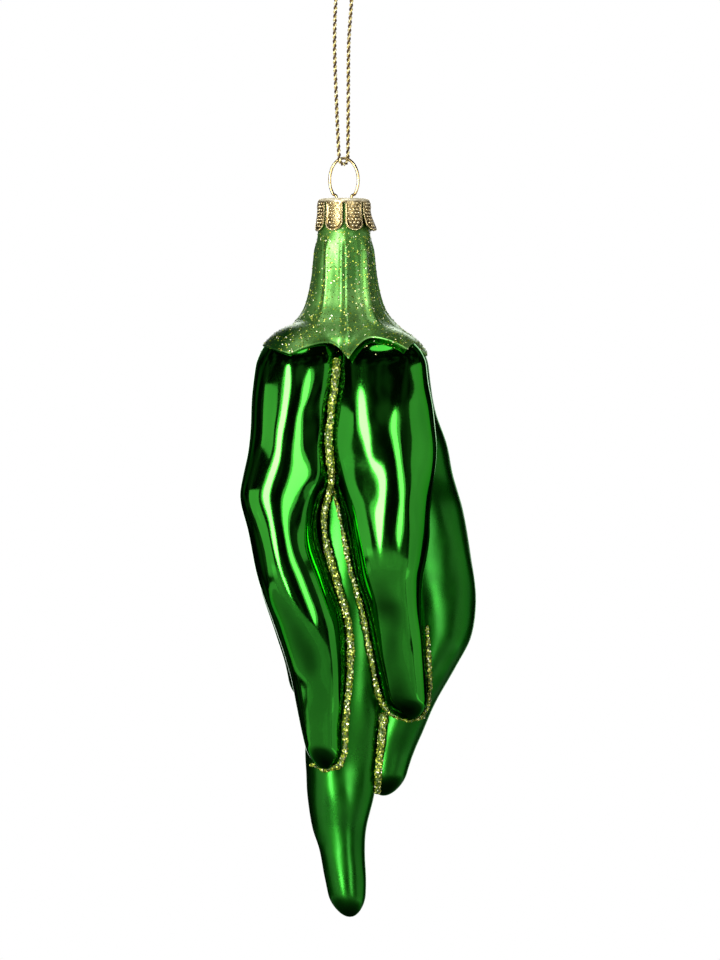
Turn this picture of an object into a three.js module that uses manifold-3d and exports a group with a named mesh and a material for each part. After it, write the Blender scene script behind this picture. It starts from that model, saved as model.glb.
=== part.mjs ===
// A blown-glass Christmas ornament: a bunch of green chili peppers hanging from one ribbed stem.
// One hollow glass body, a stamped metal cap, a spring-wire ring, glitter lines and a cord loop.
// Millimetres, +Z up. The origin is the hanging point, inside the top of the cord loop.
import * as THREE from "three";
import { mergeVertices } from "three/addons/utils/BufferGeometryUtils.js";
import Module from "manifold-3d";

const wasm = await Module();
wasm.setup();

// Driving sizes. A depth is measured down from the cap's top face.

// The air left between two pieces that touch on the real ornament.
const clearance = 0.3;

// Metal cap: a disc with a skirt of round-ended petals.
const capRadius = 5.25;
const capSheet = 0.35;
const capCornerRadius = 0.7;
const capHeight = 6.5;
const petalCount = 8;
const petalWidth = 3.6;
const petalFlare = 0.65;
const wireHoleRadius = 0.75;

// Spring-wire ring: an ellipse above the cap, two legs that spread inside the neck.
const wireDiameter = 0.6;
const ringHalfWidth = 2.85;
const ringHalfHeight = 4.34;
const ringCentreHeight = 3.7;
const legLength = 16;
const legSpringGap = 0.35;

// Cord loop with its knot.
const cordDiameter = 0.8;
const cordTurnRadius = 1.2;
const hangHeight = 45;
const loopHalfWidth = 1.5;
const knotRadius = 1.35;

// Glass wall, neck pipe and stem.
const glassWall = 0.9;
const neckBoreRadius = 3.7;
const neckWall = 0.8;
const stemTopRadius = 5.35;
const stemRibHeight = 0.45;
const stemRibAngles = [4, 52, 104, 180, -104, -54];
const stemRibWidth = 12;
const boreReach = 5;

// Calyx: the green crown that lies over the shoulders of the peppers.
const calyxThickness = 0.7;
const calyxPointDepth = 31.6;
const calyxArchHeight = 2.6;

// Glitter lines: diameters of the glue beads, the length of a facet along them, how far the right
// line climbs again behind its pepper's tip, and how far above the tip the line behind ends.
const leftBead = 1.7;
const rightBead = 1.15;
const lowerBead = 1.6;
const beadSink = 0.3;
const beadFacet = 3.3;
const rightLineRise = 19;
const backLineEnd = 3;

// Stem outline: [depth, radius] from the neck's shoulder down to the spread over the peppers.
const stemProfile = [
  [14, 5.85],
  [17, 6.3],
  [20.3, 7.1],
  [22.5, 8.0],
  [24.5, 9.5],
  [26.2, 11.4],
  [27.8, 12.9],
  [29.5, 12.9],
];
const stemDepthRatio = 0.78;

// Peppers. A station is [depth, centre x, centre y, half width, half depth], y growing backwards.
// The shoulder and the nose are the lengths over which the upper and the lower end round off.
// A dent is [depth, direction in degrees, size in mm, length, spread in degrees]; 0 is the front.
const frontLeft = {
  top: 27.3,
  tip: 114.1,
  shoulder: 6.5,
  nose: 5,
  stations: [
    [27.3, -9.0, -5.2, 8.9, 8.0],
    [36.3, -9.3, -6.0, 9.0, 8.5],
    [49.1, -10.5, -6.5, 8.4, 8.5],
    [55.5, -11.05, -6.8, 8.75, 8.5],
    [60.3, -12.4, -7.0, 7.9, 8.4],
    [66.7, -12.05, -7.0, 6.95, 8.0],
    [75.3, -10.05, -6.8, 7.35, 7.7],
    [85.3, -6.9, -6.4, 7.1, 7.0],
    [95.3, -5.2, -6.0, 5.6, 5.6],
    [105.3, -4.7, -5.4, 4.2, 4.4],
    [114.1, -3.4, -4.8, 3.2, 3.4],
  ],
  dents: [
    [47, -28, -0.7, 9, 16],
    [52, 22, 0.35, 8, 18],
    [63, -50, -0.6, 6, 20],
    [70, 8, -0.5, 9, 18],
    [88, -35, -0.4, 10, 22],
  ],
};

const frontRight = {
  top: 27.3,
  tip: 104.3,
  shoulder: 6.5,
  nose: 4.2,
  stations: [
    [27.3, 6.9, -5.2, 9.3, 8.0],
    [36.3, 6.8, -6.0, 10.0, 8.6],
    [42.7, 6.9, -6.4, 10.9, 8.9],
    [49.1, 7.1, -6.6, 11.3, 8.9],
    [55.5, 7.7, -6.8, 10.3, 8.6],
    [62.3, 8.4, -6.8, 8.9, 8.1],
    [67.3, 8.8, -6.7, 8.4, 7.7],
    [72.3, 9.0, -6.6, 7.6, 7.1],
    [76.3, 9.1, -6.5, 6.7, 6.6],
    [81.3, 9.8, -6.4, 5.8, 6.0],
    [91.3, 11.1, -4.9, 5.1, 5.1],
    [99.0, 12.1, -3.6, 4.5, 4.4],
    [104.3, 12.9, -2.4, 3.6, 3.7],
  ],
  dents: [
    [46, -18, -0.7, 10, 15],
    [58, 10, -0.6, 7, 16],
    [50, 38, 0.35, 9, 18],
    [74, -12, -0.35, 9, 20],
  ],
};

const backRight = {
  top: 27.3,
  tip: 119.6,
  shoulder: 6.5,
  nose: 4.5,
  stations: [
    [27.3, 8.8, 4.5, 7.6, 7.5],
    [36.3, 9.2, 5.0, 7.8, 8.3],
    [42.7, 10.2, 5.4, 8.0, 8.8],
    [49.1, 12.0, 5.5, 8.6, 9.2],
    [55.5, 13.1, 5.4, 8.9, 9.5],
    [62.0, 14.8, 5.2, 9.2, 9.7],
    [72.3, 16.4, 5.0, 9.2, 9.7],
    [80.3, 17.3, 4.8, 9.1, 9.4],
    [87.5, 16.9, 4.7, 8.5, 8.8],
    [93.9, 14.5, 4.2, 7.6, 7.9],
    [100.3, 11.9, 3.8, 6.7, 7.2],
    [106.7, 10.0, 3.6, 5.8, 6.3],
    [113.1, 8.6, 3.6, 4.5, 4.8],
    [119.6, 7.9, 3.6, 3.1, 3.3],
  ],
  dents: [
    [66, 78, -0.5, 8, 22],
    [96, 60, -0.35, 8, 24],
  ],
};

const backLeft = {
  top: 27.3,
  tip: 101,
  shoulder: 6.5,
  nose: 4.5,
  stations: [
    [27.3, -8.6, 4.5, 7.6, 7.5],
    [36.3, -9.4, 5.2, 7.8, 8.2],
    [49.1, -10.0, 5.8, 8.2, 8.8],
    [60.3, -10.8, 6.0, 8.4, 8.9],
    [70.0, -10.6, 6.0, 7.9, 8.4],
    [76.3, -10.0, 6.0, 7.3, 7.8],
    [81.3, -9.2, 5.8, 6.6, 7.2],
    [87.5, -8.0, 5.5, 5.6, 6.4],
    [93.9, -7.0, 5.0, 4.7, 5.2],
    [101.0, -6.8, 4.4, 3.6, 3.8],
  ],
  dents: [
    [56, 205, -0.6, 8, 20],
    [74, 230, -0.4, 9, 22],
  ],
};

const centre = {
  top: 27.3,
  tip: 143.7,
  shoulder: 6,
  nose: 4.6,
  stations: [
    [27.3, 0.3, 0.6, 5.6, 6.6],
    [36.3, 0.4, 0.6, 6.8, 7.8],
    [56.0, 0.4, 0.6, 8.0, 8.6],
    [66.0, 0.4, 0.9, 8.2, 8.5],
    [76.3, 0.6, 1.2, 8.4, 8.3],
    [86.3, 0.8, 1.4, 8.6, 8.1],
    [96.3, 0.8, 1.5, 8.3, 7.8],
    [104.3, 0.6, 1.4, 7.9, 7.3],
    [110.3, -0.1, 1.4, 7.6, 6.9],
    [114.3, -0.5, 1.5, 7.1, 6.7],
    [119.5, -0.6, 1.3, 6.7, 6.2],
    [126.0, -0.8, 1.0, 5.4, 5.2],
    [130.0, -0.3, 0.7, 4.6, 4.6],
    [135.5, 0.4, 0.4, 4.2, 4.1],
    [139.5, 0.8, 0.2, 3.7, 3.7],
    [143.7, 1.2, 0.0, 3.0, 3.0],
  ],
  dents: [
    [124, -20, -0.3, 6, 25],
    [88, 180, -0.5, 10, 24],
  ],
};

const peppers = [frontLeft, frontRight, backRight, backLeft, centre];

const degrees = Math.PI / 180;

// A smooth value between the stations of a table whose first column is the depth.
function along(table, depth, column) {
  const last = table.length - 1;
  let i = 0;
  while (i < last - 1 && depth > table[i + 1][0]) {
    i += 1;
  }
  const before = table[Math.max(i - 1, 0)];
  const from = table[i];
  const to = table[i + 1];
  const after = table[Math.min(i + 2, last)];
  const span = to[0] - from[0];
  const slopeFrom = (to[column] - before[column]) / (to[0] - before[0]);
  const slopeTo = (after[column] - from[column]) / (after[0] - from[0]);
  const t = THREE.MathUtils.clamp((depth - from[0]) / span, 0, 1);
  const t2 = t * t;
  const t3 = t2 * t;
  return (2 * t3 - 3 * t2 + 1) * from[column] + (t3 - 2 * t2 + t) * span * slopeFrom
    + (3 * t2 - 2 * t3) * to[column] + (t3 - t2) * span * slopeTo;
}

// How far the end has rounded off: 1 away from the ends, 0 at the pole.
function endRound(pepper, depth, offset) {
  const down = depth - (pepper.top - offset);
  const up = pepper.tip + offset - depth;
  const s = THREE.MathUtils.clamp(1 - down / (pepper.shoulder + offset), 0, 1);
  const n = THREE.MathUtils.clamp(1 - up / (pepper.nose + offset), 0, 1);
  return Math.sqrt(Math.max(0, 1 - s * s)) * Math.sqrt(Math.max(0, 1 - n * n));
}

function angleBetween(a, b) {
  const turn = (a - b) / (2 * Math.PI);
  return (turn - Math.round(turn)) * 2 * Math.PI;
}

// The dents and swellings at one place of a pepper's skin, in millimetres.
function dentAt(pepper, depth, angle) {
  let sum = 0;
  for (const [atDepth, direction, size, length, spread] of pepper.dents) {
    const u = (depth - atDepth) / length;
    const w = angleBetween(angle, direction * degrees) / (spread * degrees);
    sum += size * Math.exp(-u * u - w * w);
  }
  return sum;
}

// A point on a pepper's skin, moved out by offset. Angle 0 looks to the front, 90 to the right.
function skinPoint(pepper, depth, angle, offset = 0) {
  const round = endRound(pepper, depth, offset);
  const swell = offset + dentAt(pepper, depth, angle) * round;
  const halfWidth = (along(pepper.stations, depth, 3) + swell) * round;
  const halfDepth = (along(pepper.stations, depth, 4) + swell) * round;
  return new THREE.Vector3(
    along(pepper.stations, depth, 1) + halfWidth * Math.sin(angle),
    along(pepper.stations, depth, 2) - halfDepth * Math.cos(angle),
    -depth,
  );
}

// A closed loft from rings of points, listed upwards, that run anticlockwise seen from above.
function loft(bottomPole, rings, topPole) {
  const around = rings[0].length;
  const points = [bottomPole, ...rings.flat(), topPole];
  const index = [];
  for (let j = 0; j < around; j += 1) {
    const k = (j + 1) % around;
    index.push(0, 1 + k, 1 + j);
    for (let i = 0; i < rings.length - 1; i += 1) {
      const low = 1 + i * around;
      const high = low + around;
      index.push(low + j, low + k, high + k);
      index.push(low + j, high + k, high + j);
    }
    const last = 1 + (rings.length - 1) * around;
    index.push(points.length - 1, last + j, last + k);
  }
  const geometry = new THREE.BufferGeometry().setFromPoints(points);
  geometry.setIndex(index);
  return geometry;
}

// A pepper as a closed solid, grown or shrunk by offset.
function pepperGeometry(pepper, offset, around, ringCount) {
  const top = pepper.top - offset;
  const tip = pepper.tip + offset;
  const length = tip - top;
  const bend = 0.12;
  const rings = [];
  for (let i = 1; i < ringCount; i += 1) {
    const t = i / ringCount;
    const eased = t - bend * Math.sin(2 * Math.PI * t);
    const depth = tip - eased * length;
    const ring = [];
    for (let j = 0; j < around; j += 1) {
      ring.push(skinPoint(pepper, depth, (2 * Math.PI * j) / around, offset));
    }
    rings.push(ring);
  }
  const low = skinPoint(pepper, tip, 0, offset);
  const high = skinPoint(pepper, top, 0, offset);
  return loft(low, rings, high);
}

// Ribs that run down the stem and out to the points of the calyx.
function ribAt(angle) {
  let sum = 0;
  for (const direction of stemRibAngles) {
    const w = angleBetween(angle, direction * degrees) / (stemRibWidth * degrees);
    sum += Math.exp(-w * w);
  }
  return sum;
}

const neckOuterRadius = neckBoreRadius + neckWall;
const neckTop = capSheet + clearance;
const neckDepth = capHeight * 0.68;
const underPetals = capHeight - clearance;
const shoulderDepth = capHeight + 0.9;
const stemTable = [
  [0, neckOuterRadius],
  [neckDepth, neckOuterRadius],
  [underPetals, stemTopRadius - 0.22],
  [shoulderDepth, stemTopRadius],
  ...stemProfile,
];

// The stem from the neck's rim to its spread over the peppers. Offset is negative for the bore,
// whose lower end reaches down into the hollow peppers.
function stemGeometry(offset, around) {
  const bottom = calyxPointDepth + (offset < 0 ? boreReach : clearance);
  const depths = stemProfile.map((row) => row[0]).reverse();
  depths.push(11, shoulderDepth, underPetals, (underPetals + neckDepth) / 2);
  const rings = depths.map((depth) => {
    const radius = along(stemTable, depth, 1) + offset;
    const spread = THREE.MathUtils.smoothstep(depth, shoulderDepth, 24);
    const squeeze = THREE.MathUtils.lerp(1, stemDepthRatio, spread);
    return Array.from({ length: around }, (_, j) => {
      const angle = (2 * Math.PI * j) / around;
      const rib = offset < 0 ? 0 : stemRibHeight * ribAt(angle);
      const r = radius + rib * THREE.MathUtils.smoothstep(depth, shoulderDepth, 11);
      return new THREE.Vector3(r * Math.sin(angle), -r * squeeze * Math.cos(angle), -depth);
    });
  });
  const neckRadius = offset < 0 ? neckBoreRadius : neckOuterRadius;
  const upper = offset < 0 ? neckTop - 1 : neckTop;
  for (const depth of [neckDepth, upper]) {
    rings.push(Array.from({ length: around }, (_, j) => {
      const angle = (2 * Math.PI * j) / around;
      return new THREE.Vector3(
        neckRadius * Math.sin(angle),
        -neckRadius * Math.cos(angle),
        -depth,
      );
    }));
  }
  return loft(new THREE.Vector3(0, 0, -bottom), rings, new THREE.Vector3(0, 0, -upper));
}

// The space above the calyx's edge: low at every rib, arched between two ribs.
function crownGeometry() {
  const around = 72;
  const reach = 30;
  const sorted = [...stemRibAngles].sort((a, b) => a - b);
  const edge = Array.from({ length: around }, (_, j) => {
    const angle = (2 * Math.PI * j) / around;
    let left = -Infinity;
    let right = Infinity;
    for (const direction of sorted) {
      for (const turn of [-360, 0, 360]) {
        const at = (direction + turn) * degrees;
        if (at <= angle && at > left) {
          left = at;
        }
        if (at > angle && at < right) {
          right = at;
        }
      }
    }
    const share = (angle - left) / (right - left);
    const arch = calyxArchHeight * Math.pow(Math.sin(Math.PI * share), 0.7);
    const depth = calyxPointDepth - arch;
    return new THREE.Vector3(reach * Math.sin(angle), -reach * Math.cos(angle), -depth);
  });
  const inner = edge.map((p) => new THREE.Vector3(p.x * 0.15, p.y * 0.15, p.z));
  const upper = edge.map((p) => new THREE.Vector3(p.x, p.y, reach));
  const low = new THREE.Vector3(0, 0, -calyxPointDepth);
  return loft(low, [inner, edge, upper], new THREE.Vector3(0, 0, reach));
}

// Solids for cutting and joining, made from closed geometries and back.
function solidOf(geometry) {
  const position = geometry.getAttribute("position");
  const index = geometry.getIndex();
  const mesh = new wasm.Mesh({
    numProp: 3,
    vertProperties: Float32Array.from(position.array),
    triVerts: Uint32Array.from(index.array),
  });
  return new wasm.Manifold(mesh);
}

function geometryOf(solid) {
  const mesh = solid.getMesh();
  const geometry = new THREE.BufferGeometry();
  geometry.setAttribute("position", new THREE.BufferAttribute(mesh.vertProperties, 3));
  geometry.setIndex(new THREE.BufferAttribute(mesh.triVerts, 1));
  return geometry;
}

function joined(solids) {
  return solids.reduce((sum, solid) => sum.add(solid));
}

// The main body of a cut, without the crumbs that are left where two skins graze.
function largest(solid) {
  return solid.decompose().reduce((a, b) => (b.volume() > a.volume() ? b : a));
}

function bunch(offset, around, ringCount) {
  return joined(peppers.map((p) => solidOf(pepperGeometry(p, offset, around, ringCount))));
}

// Glass body: peppers, calyx and stem in one hollow shell that is open at the neck.
const crown = bunch(calyxThickness, 18, 18)
  .add(solidOf(stemGeometry(0, 42)))
  .intersect(solidOf(crownGeometry()));
const outside = bunch(0, 20, 21).add(crown);
const hollow = bunch(-glassWall, 10, 12).add(solidOf(stemGeometry(-glassWall, 16)));
const glass = largest(outside.subtract(hollow));

// Cap: a revolved sheet skirt with a disc on top, cut into petals, with two holes for the wire.
const capInner = capRadius - capSheet;
const pitch = (2 * Math.PI * capRadius) / petalCount;

function capGeometry() {
  const corner = capCornerRadius;
  const outline = [new THREE.Vector2(0, 0)];
  for (let i = 0; i <= 3; i += 1) {
    const a = (i / 3) * (Math.PI / 2);
    outline.push(new THREE.Vector2(
      capRadius - corner + corner * Math.sin(a),
      -corner + corner * Math.cos(a),
    ));
  }
  const flareTop = capHeight * 0.55;
  outline.push(new THREE.Vector2(capRadius, -flareTop));
  outline.push(new THREE.Vector2(capRadius + petalFlare, -capHeight));
  outline.push(new THREE.Vector2(capInner + petalFlare, -capHeight));
  outline.push(new THREE.Vector2(capInner, -flareTop));
  outline.push(new THREE.Vector2(capInner, -corner));
  outline.push(new THREE.Vector2(capInner - corner + capSheet, -capSheet));
  outline.push(new THREE.Vector2(0, -capSheet));
  const skirt = new THREE.LatheGeometry(outline.reverse(), petalCount * 5);
  return standing(skirt);
}

// Turns a geometry that was revolved about Y so that it stands along Z, with merged points.
function standing(geometry) {
  geometry.rotateX(Math.PI / 2);
  return merged(geometry);
}

function merged(geometry) {
  const bare = geometry.clone();
  bare.deleteAttribute("normal");
  bare.deleteAttribute("uv");
  return mergeVertices(bare, 1e-4);
}

// The air between two petals: a slit that widens round the petals' round ends.
function petalGapGeometry(turn) {
  const half = pitch / 2;
  const radius = petalWidth / 2;
  const low = -capHeight + radius;
  const gap = new THREE.Shape();
  gap.moveTo(radius - half, -capHeight * 0.3);
  gap.lineTo(radius - half, low);
  gap.absarc(-half, low, radius, 0, -Math.PI / 2, true);
  gap.lineTo(-half, -capHeight - 1);
  gap.lineTo(half, -capHeight - 1);
  gap.lineTo(half, low - radius);
  gap.absarc(half, low, radius, -Math.PI / 2, -Math.PI, true);
  gap.lineTo(half - radius, -capHeight * 0.3);
  const block = new THREE.ExtrudeGeometry(gap, {
    depth: capRadius + petalFlare + 1,
    bevelEnabled: false,
    curveSegments: 3,
  });
  block.rotateX(Math.PI / 2);
  block.rotateZ(turn);
  return merged(block);
}

function rod(radius, length, x, y, z, sides = 16) {
  const geometry = new THREE.CylinderGeometry(radius, radius, length, sides);
  geometry.rotateX(Math.PI / 2);
  geometry.translate(x, y, z);
  return merged(geometry);
}

// The wire enters the cap where the ring's ellipse meets the top face.
const ringLow = -ringCentreHeight / ringHalfHeight;
const holeX = ringHalfWidth * Math.sqrt(1 - ringLow * ringLow);

let cap = solidOf(capGeometry());
for (let i = 0; i < petalCount; i += 1) {
  cap = cap.subtract(solidOf(petalGapGeometry((i * 2 * Math.PI) / petalCount)));
}
for (const side of [-1, 1]) {
  cap = cap.subtract(solidOf(rod(wireHoleRadius, 3, side * holeX, 0, 0)));
}

// Hanger wire: up one spread leg, round the ring and down the other leg.
const legX = neckBoreRadius - legSpringGap - wireDiameter / 2;

function wireGeometry() {
  const route = [];
  const enter = Math.asin(holeX / ringHalfWidth);
  route.push(new THREE.Vector3(-legX, 0, -legLength));
  route.push(new THREE.Vector3(-legX * 0.9, 0, -legLength * 0.68));
  route.push(new THREE.Vector3(-(holeX + legX) / 2, 0, -legLength * 0.32));
  for (let i = 0; i <= 16; i += 1) {
    const a = enter + (i / 16) * 2 * (Math.PI - enter);
    route.push(new THREE.Vector3(
      -ringHalfWidth * Math.sin(a),
      0,
      ringCentreHeight - ringHalfHeight * Math.cos(a),
    ));
  }
  route.push(new THREE.Vector3((holeX + legX) / 2, 0, -legLength * 0.32));
  route.push(new THREE.Vector3(legX * 0.9, 0, -legLength * 0.68));
  route.push(new THREE.Vector3(legX, 0, -legLength));
  return tube(new THREE.CatmullRomCurve3(route), wireDiameter / 2, 8, 46);
}

// A round tube with closed ends along a curve.
function tube(curve, radius, sides, steps) {
  const section = new THREE.Shape();
  section.absarc(0, 0, radius, 0, 2 * Math.PI, false);
  const geometry = new THREE.ExtrudeGeometry(section, {
    extrudePath: curve,
    steps,
    curveSegments: sides / 2,
    bevelEnabled: false,
  });
  return merged(geometry);
}

// Cord: from the knot down in front of the wire, under the ring's top and up behind it.
const ringTop = ringCentreHeight + ringHalfHeight;
const strandTop = hangHeight + cordDiameter / 2 + clearance;

function cordGeometry() {
  const turn = cordTurnRadius;
  const low = 3.2;
  const route = [
    new THREE.Vector3(-0.45, 0, strandTop),
    new THREE.Vector3(-loopHalfWidth, -0.2, strandTop - 4.5),
    new THREE.Vector3(-loopHalfWidth * 1.25, -0.8, 31),
    new THREE.Vector3(-loopHalfWidth, -turn, ringTop + low + 8),
    new THREE.Vector3(-1.15, -turn, ringTop + low),
  ];
  for (let i = 0; i <= 8; i += 1) {
    const a = (i / 8) * Math.PI;
    route.push(new THREE.Vector3(
      -0.85 * Math.cos(a) - 0.1,
      -turn * Math.cos(a),
      ringTop - turn * Math.sin(a),
    ));
  }
  route.push(
    new THREE.Vector3(0.8, turn, ringTop + low),
    new THREE.Vector3(0.85, turn, ringTop + low + 8),
    new THREE.Vector3(0.95, 0.8, 31),
    new THREE.Vector3(loopHalfWidth, 0.2, strandTop - 4.5),
    new THREE.Vector3(0.45, 0, strandTop),
  );
  return tube(new THREE.CatmullRomCurve3(route), cordDiameter / 2, 8, 54);
}

// Knot: a squat ball over the ends of the two strands.
function knotGeometry() {
  const geometry = new THREE.SphereGeometry(knotRadius, 12, 8);
  geometry.scale(1, 0.85, 1.1);
  geometry.translate(0, 0, strandTop + clearance + 1.1 * knotRadius);
  return merged(geometry);
}

// Glitter beads lie in the creases between the peppers. Facing is 1 for the front, -1 for the back.

// How far a pepper's skin comes out towards the viewer at a place x.
function reachAt(pepper, depth, x, facing) {
  if (depth <= pepper.top || depth >= pepper.tip) {
    return -Infinity;
  }
  const round = endRound(pepper, depth, 0);
  const halfWidth = along(pepper.stations, depth, 3) * round;
  const u = (x - along(pepper.stations, depth, 1)) / halfWidth;
  if (Math.abs(u) >= 1) {
    return -Infinity;
  }
  const halfDepth = along(pepper.stations, depth, 4) * round;
  return -facing * along(pepper.stations, depth, 2) + halfDepth * Math.sqrt(1 - u * u);
}

// The direction in which a pepper's skin faces at a place x, seen along the depth axis.
function facingAt(pepper, depth, x) {
  const round = endRound(pepper, depth, 0);
  const halfWidth = along(pepper.stations, depth, 3) * round;
  const halfDepth = along(pepper.stations, depth, 4) * round;
  const u = THREE.MathUtils.clamp((x - along(pepper.stations, depth, 1)) / halfWidth, -1, 1);
  return new THREE.Vector2(u / halfWidth, Math.sqrt(1 - u * u) / halfDepth).normalize();
}

function foremost(others, depth, x, facing) {
  return others.reduce((a, b) => (
    reachAt(b, depth, x, facing) > reachAt(a, depth, x, facing) ? b : a
  ));
}

// The crease on one side of a pepper at a depth: where its skin goes behind one of the others.
// Returns the place, the direction out of the crease and how wide the crease opens.
function creaseAt(pepper, depth, facing, side, others) {
  const round = endRound(pepper, depth, 0);
  const halfWidth = along(pepper.stations, depth, 3) * round;
  const halfDepth = along(pepper.stations, depth, 4) * round;
  const x0 = along(pepper.stations, depth, 1);
  const n0 = -facing * along(pepper.stations, depth, 2);
  const place = (angle) => [
    x0 + side * halfWidth * Math.sin(angle),
    n0 + halfDepth * Math.cos(angle),
  ];
  const hidden = (angle) => {
    const [x, n] = place(angle);
    return reachAt(foremost(others, depth, x, facing), depth, x, facing) > n;
  };
  const step = 3 * degrees;
  let angle = 0;
  while (angle < 2.9 && !hidden(angle)) {
    angle += step;
  }
  let low = Math.max(angle - step, 0);
  let high = angle;
  for (let i = 0; i < 20; i += 1) {
    const middle = (low + high) / 2;
    if (hidden(middle)) {
      high = middle;
    } else {
      low = middle;
    }
  }
  const [x, n] = place(high);
  const own = new THREE.Vector2(
    (side * Math.sin(high)) / halfWidth,
    Math.cos(high) / halfDepth,
  ).normalize();
  const out = facingAt(foremost(others, depth, x, facing), depth, x).add(own).normalize();
  return { x, n, out, opening: Math.max(own.dot(out), 0.3) };
}

// The depth at which a pepper's tip sinks into what lies behind it.
function tipDepth(pepper, facing, others) {
  let depth = pepper.tip;
  const shows = () => {
    const x = along(pepper.stations, depth, 1);
    const behind = foremost(others, depth, x, facing);
    return reachAt(pepper, depth, x, facing) > reachAt(behind, depth, x, facing);
  };
  while (depth > pepper.tip - pepper.nose && !shows()) {
    depth -= 0.05;
  }
  return depth;
}

// The centre of a bead that lies in a crease: as deep as its width lets it go.
function beadCentre(line, depth, side = line.side) {
  const crease = creaseAt(line.pepper, depth, line.facing, side, line.others);
  const lift = (clearance + beadSink * line.diameter) / crease.opening;
  return new THREE.Vector3(
    crease.x + crease.out.x * lift,
    -line.facing * (crease.n + crease.out.y * lift),
    -depth,
  );
}

function beadRoute(line, side, from, to, count) {
  return Array.from({ length: count }, (_, i) => {
    const t = i / (count - 1);
    return beadCentre(line, from + (to - from) * (t + 0.3 * t * (1 - t)), side);
  });
}

// A line down one side of a pepper, round its tip and up its other side by a rise.
function roundTip(line, from, rise) {
  const end = tipDepth(line.pepper, line.facing, line.others);
  const down = beadRoute(line, line.side, from, end - 0.3, line.points);
  const risePoints = 3 + Math.ceil(rise / 5);
  const up = beadRoute(line, -line.side, end - rise, end - 0.7, risePoints);
  return [...down, ...up.reverse()];
}

// The depth from which one line runs clear of another one that it branches from.
function branchDepth(line, stem, from) {
  const apart = (line.diameter + stem.diameter) / 4 + clearance;
  let depth = from;
  while (beadCentre(line, depth).distanceTo(beadCentre(stem, depth)) < apart) {
    depth += 0.1;
  }
  return depth + 0.2;
}

// The depth at which two peppers that touch part in front of the centre pepper.
function forkDepth(line) {
  let depth = calyxPointDepth + 4;
  const parted = () => {
    const crease = creaseAt(line.pepper, depth, line.facing, line.side, line.others);
    return reachAt(centre, depth, crease.x, line.facing) > crease.n - 0.15;
  };
  while (depth < line.pepper.tip - line.pepper.nose && !parted()) {
    depth += 0.2;
  }
  return depth;
}

// The depth at which the crease between two peppers behind comes out from under a front line.
function junctionDepth(line, front) {
  let depth = front.pepper.tip - 4 * front.pepper.nose;
  const under = () => beadCentre(line, depth).x > beadCentre(front, depth).x;
  while (depth < front.pepper.tip && under()) {
    depth += 0.1;
  }
  return depth;
}

// The depth at which a pepper's tip no longer touches the centre pepper on one side.
function partingDepth(line) {
  let depth = line.pepper.tip - 0.5;
  const touching = () => {
    const crease = creaseAt(line.pepper, depth, line.facing, line.side, line.others);
    return reachAt(centre, depth, crease.x, line.facing) > crease.n - 0.1;
  };
  while (depth > line.pepper.tip - 4 * line.pepper.nose && !touching()) {
    depth -= 0.1;
  }
  return depth;
}

const glueLines = {
  glitter_front_left: {
    pepper: frontLeft,
    facing: 1,
    side: 1,
    others: [frontRight, centre, backLeft],
    diameter: leftBead,
    points: 24,
  },
  glitter_front_right: {
    pepper: frontRight,
    facing: 1,
    side: -1,
    others: [centre, backRight, frontLeft],
    diameter: rightBead,
    points: 14,
    branchOf: "glitter_front_left",
  },
  glitter_lower: {
    pepper: backRight,
    facing: 1,
    side: -1,
    others: [centre],
    diameter: lowerBead,
    points: 8,
    branchOf: "glitter_front_right",
  },
  glitter_back_left: {
    pepper: backLeft,
    facing: -1,
    side: 1,
    others: [backRight, centre, frontLeft],
    diameter: leftBead,
    points: 20,
  },
  glitter_back_right: {
    pepper: backRight,
    facing: -1,
    side: -1,
    others: [centre, backLeft],
    diameter: rightBead,
    points: 20,
    branchOf: "glitter_back_left",
  },
};

const beadTop = calyxPointDepth + clearance + 0.2;
const {
  glitter_front_left: lineLeft,
  glitter_front_right: lineRight,
  glitter_lower: lineLower,
  glitter_back_left: lineBackLeft,
  glitter_back_right: lineBackRight,
} = glueLines;
const rightTop = branchDepth(lineRight, lineLeft, forkDepth(lineLeft));
const lowerTop = branchDepth(lineLower, lineRight, junctionDepth(lineLower, lineRight));
const backTop = branchDepth(lineBackRight, lineBackLeft, forkDepth(lineBackLeft));

const routes = {
  glitter_front_left: roundTip(lineLeft, beadTop, 1.2),
  glitter_front_right: roundTip(lineRight, rightTop, rightLineRise),
  glitter_lower: beadRoute(lineLower, lineLower.side, lowerTop, partingDepth(lineLower), 8),
  glitter_back_left: roundTip(lineBackLeft, beadTop, 1.2),
  glitter_back_right: beadRoute(
    lineBackRight,
    lineBackRight.side,
    backTop,
    partingDepth(lineBackRight) - backLineEnd,
    20,
  ),
};

const grownGlass = bunch(clearance, 18, 18);

function beadTube(name, growth) {
  const curve = new THREE.CatmullRomCurve3(routes[name], false, "centripetal");
  const steps = Math.ceil(curve.getLength() / beadFacet);
  return solidOf(tube(curve, glueLines[name].diameter / 2 + growth, 6, steps));
}

// A glue bead along a route: a round tube, flattened where it lies on the glass and ended
// where it meets the line that it branches from.
function beadSolid(name) {
  let solid = beadTube(name, 0).subtract(grownGlass);
  const { branchOf } = glueLines[name];
  if (branchOf) {
    solid = solid.subtract(beadTube(branchOf, clearance));
  }
  return largest(solid);
}

const finish = { glass: [0x0f7a1f, 0.08, 0.85], brass: [0xc9b26a, 0.3, 1], glitter: [0xb59a35, 0.5, 0.8] };

function material([color, roughness, metalness]) {
  return new THREE.MeshStandardMaterial({ color, roughness, metalness });
}

function piece(name, geometry, look) {
  const mesh = new THREE.Mesh(geometry, material(look));
  mesh.name = name;
  return mesh;
}

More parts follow.
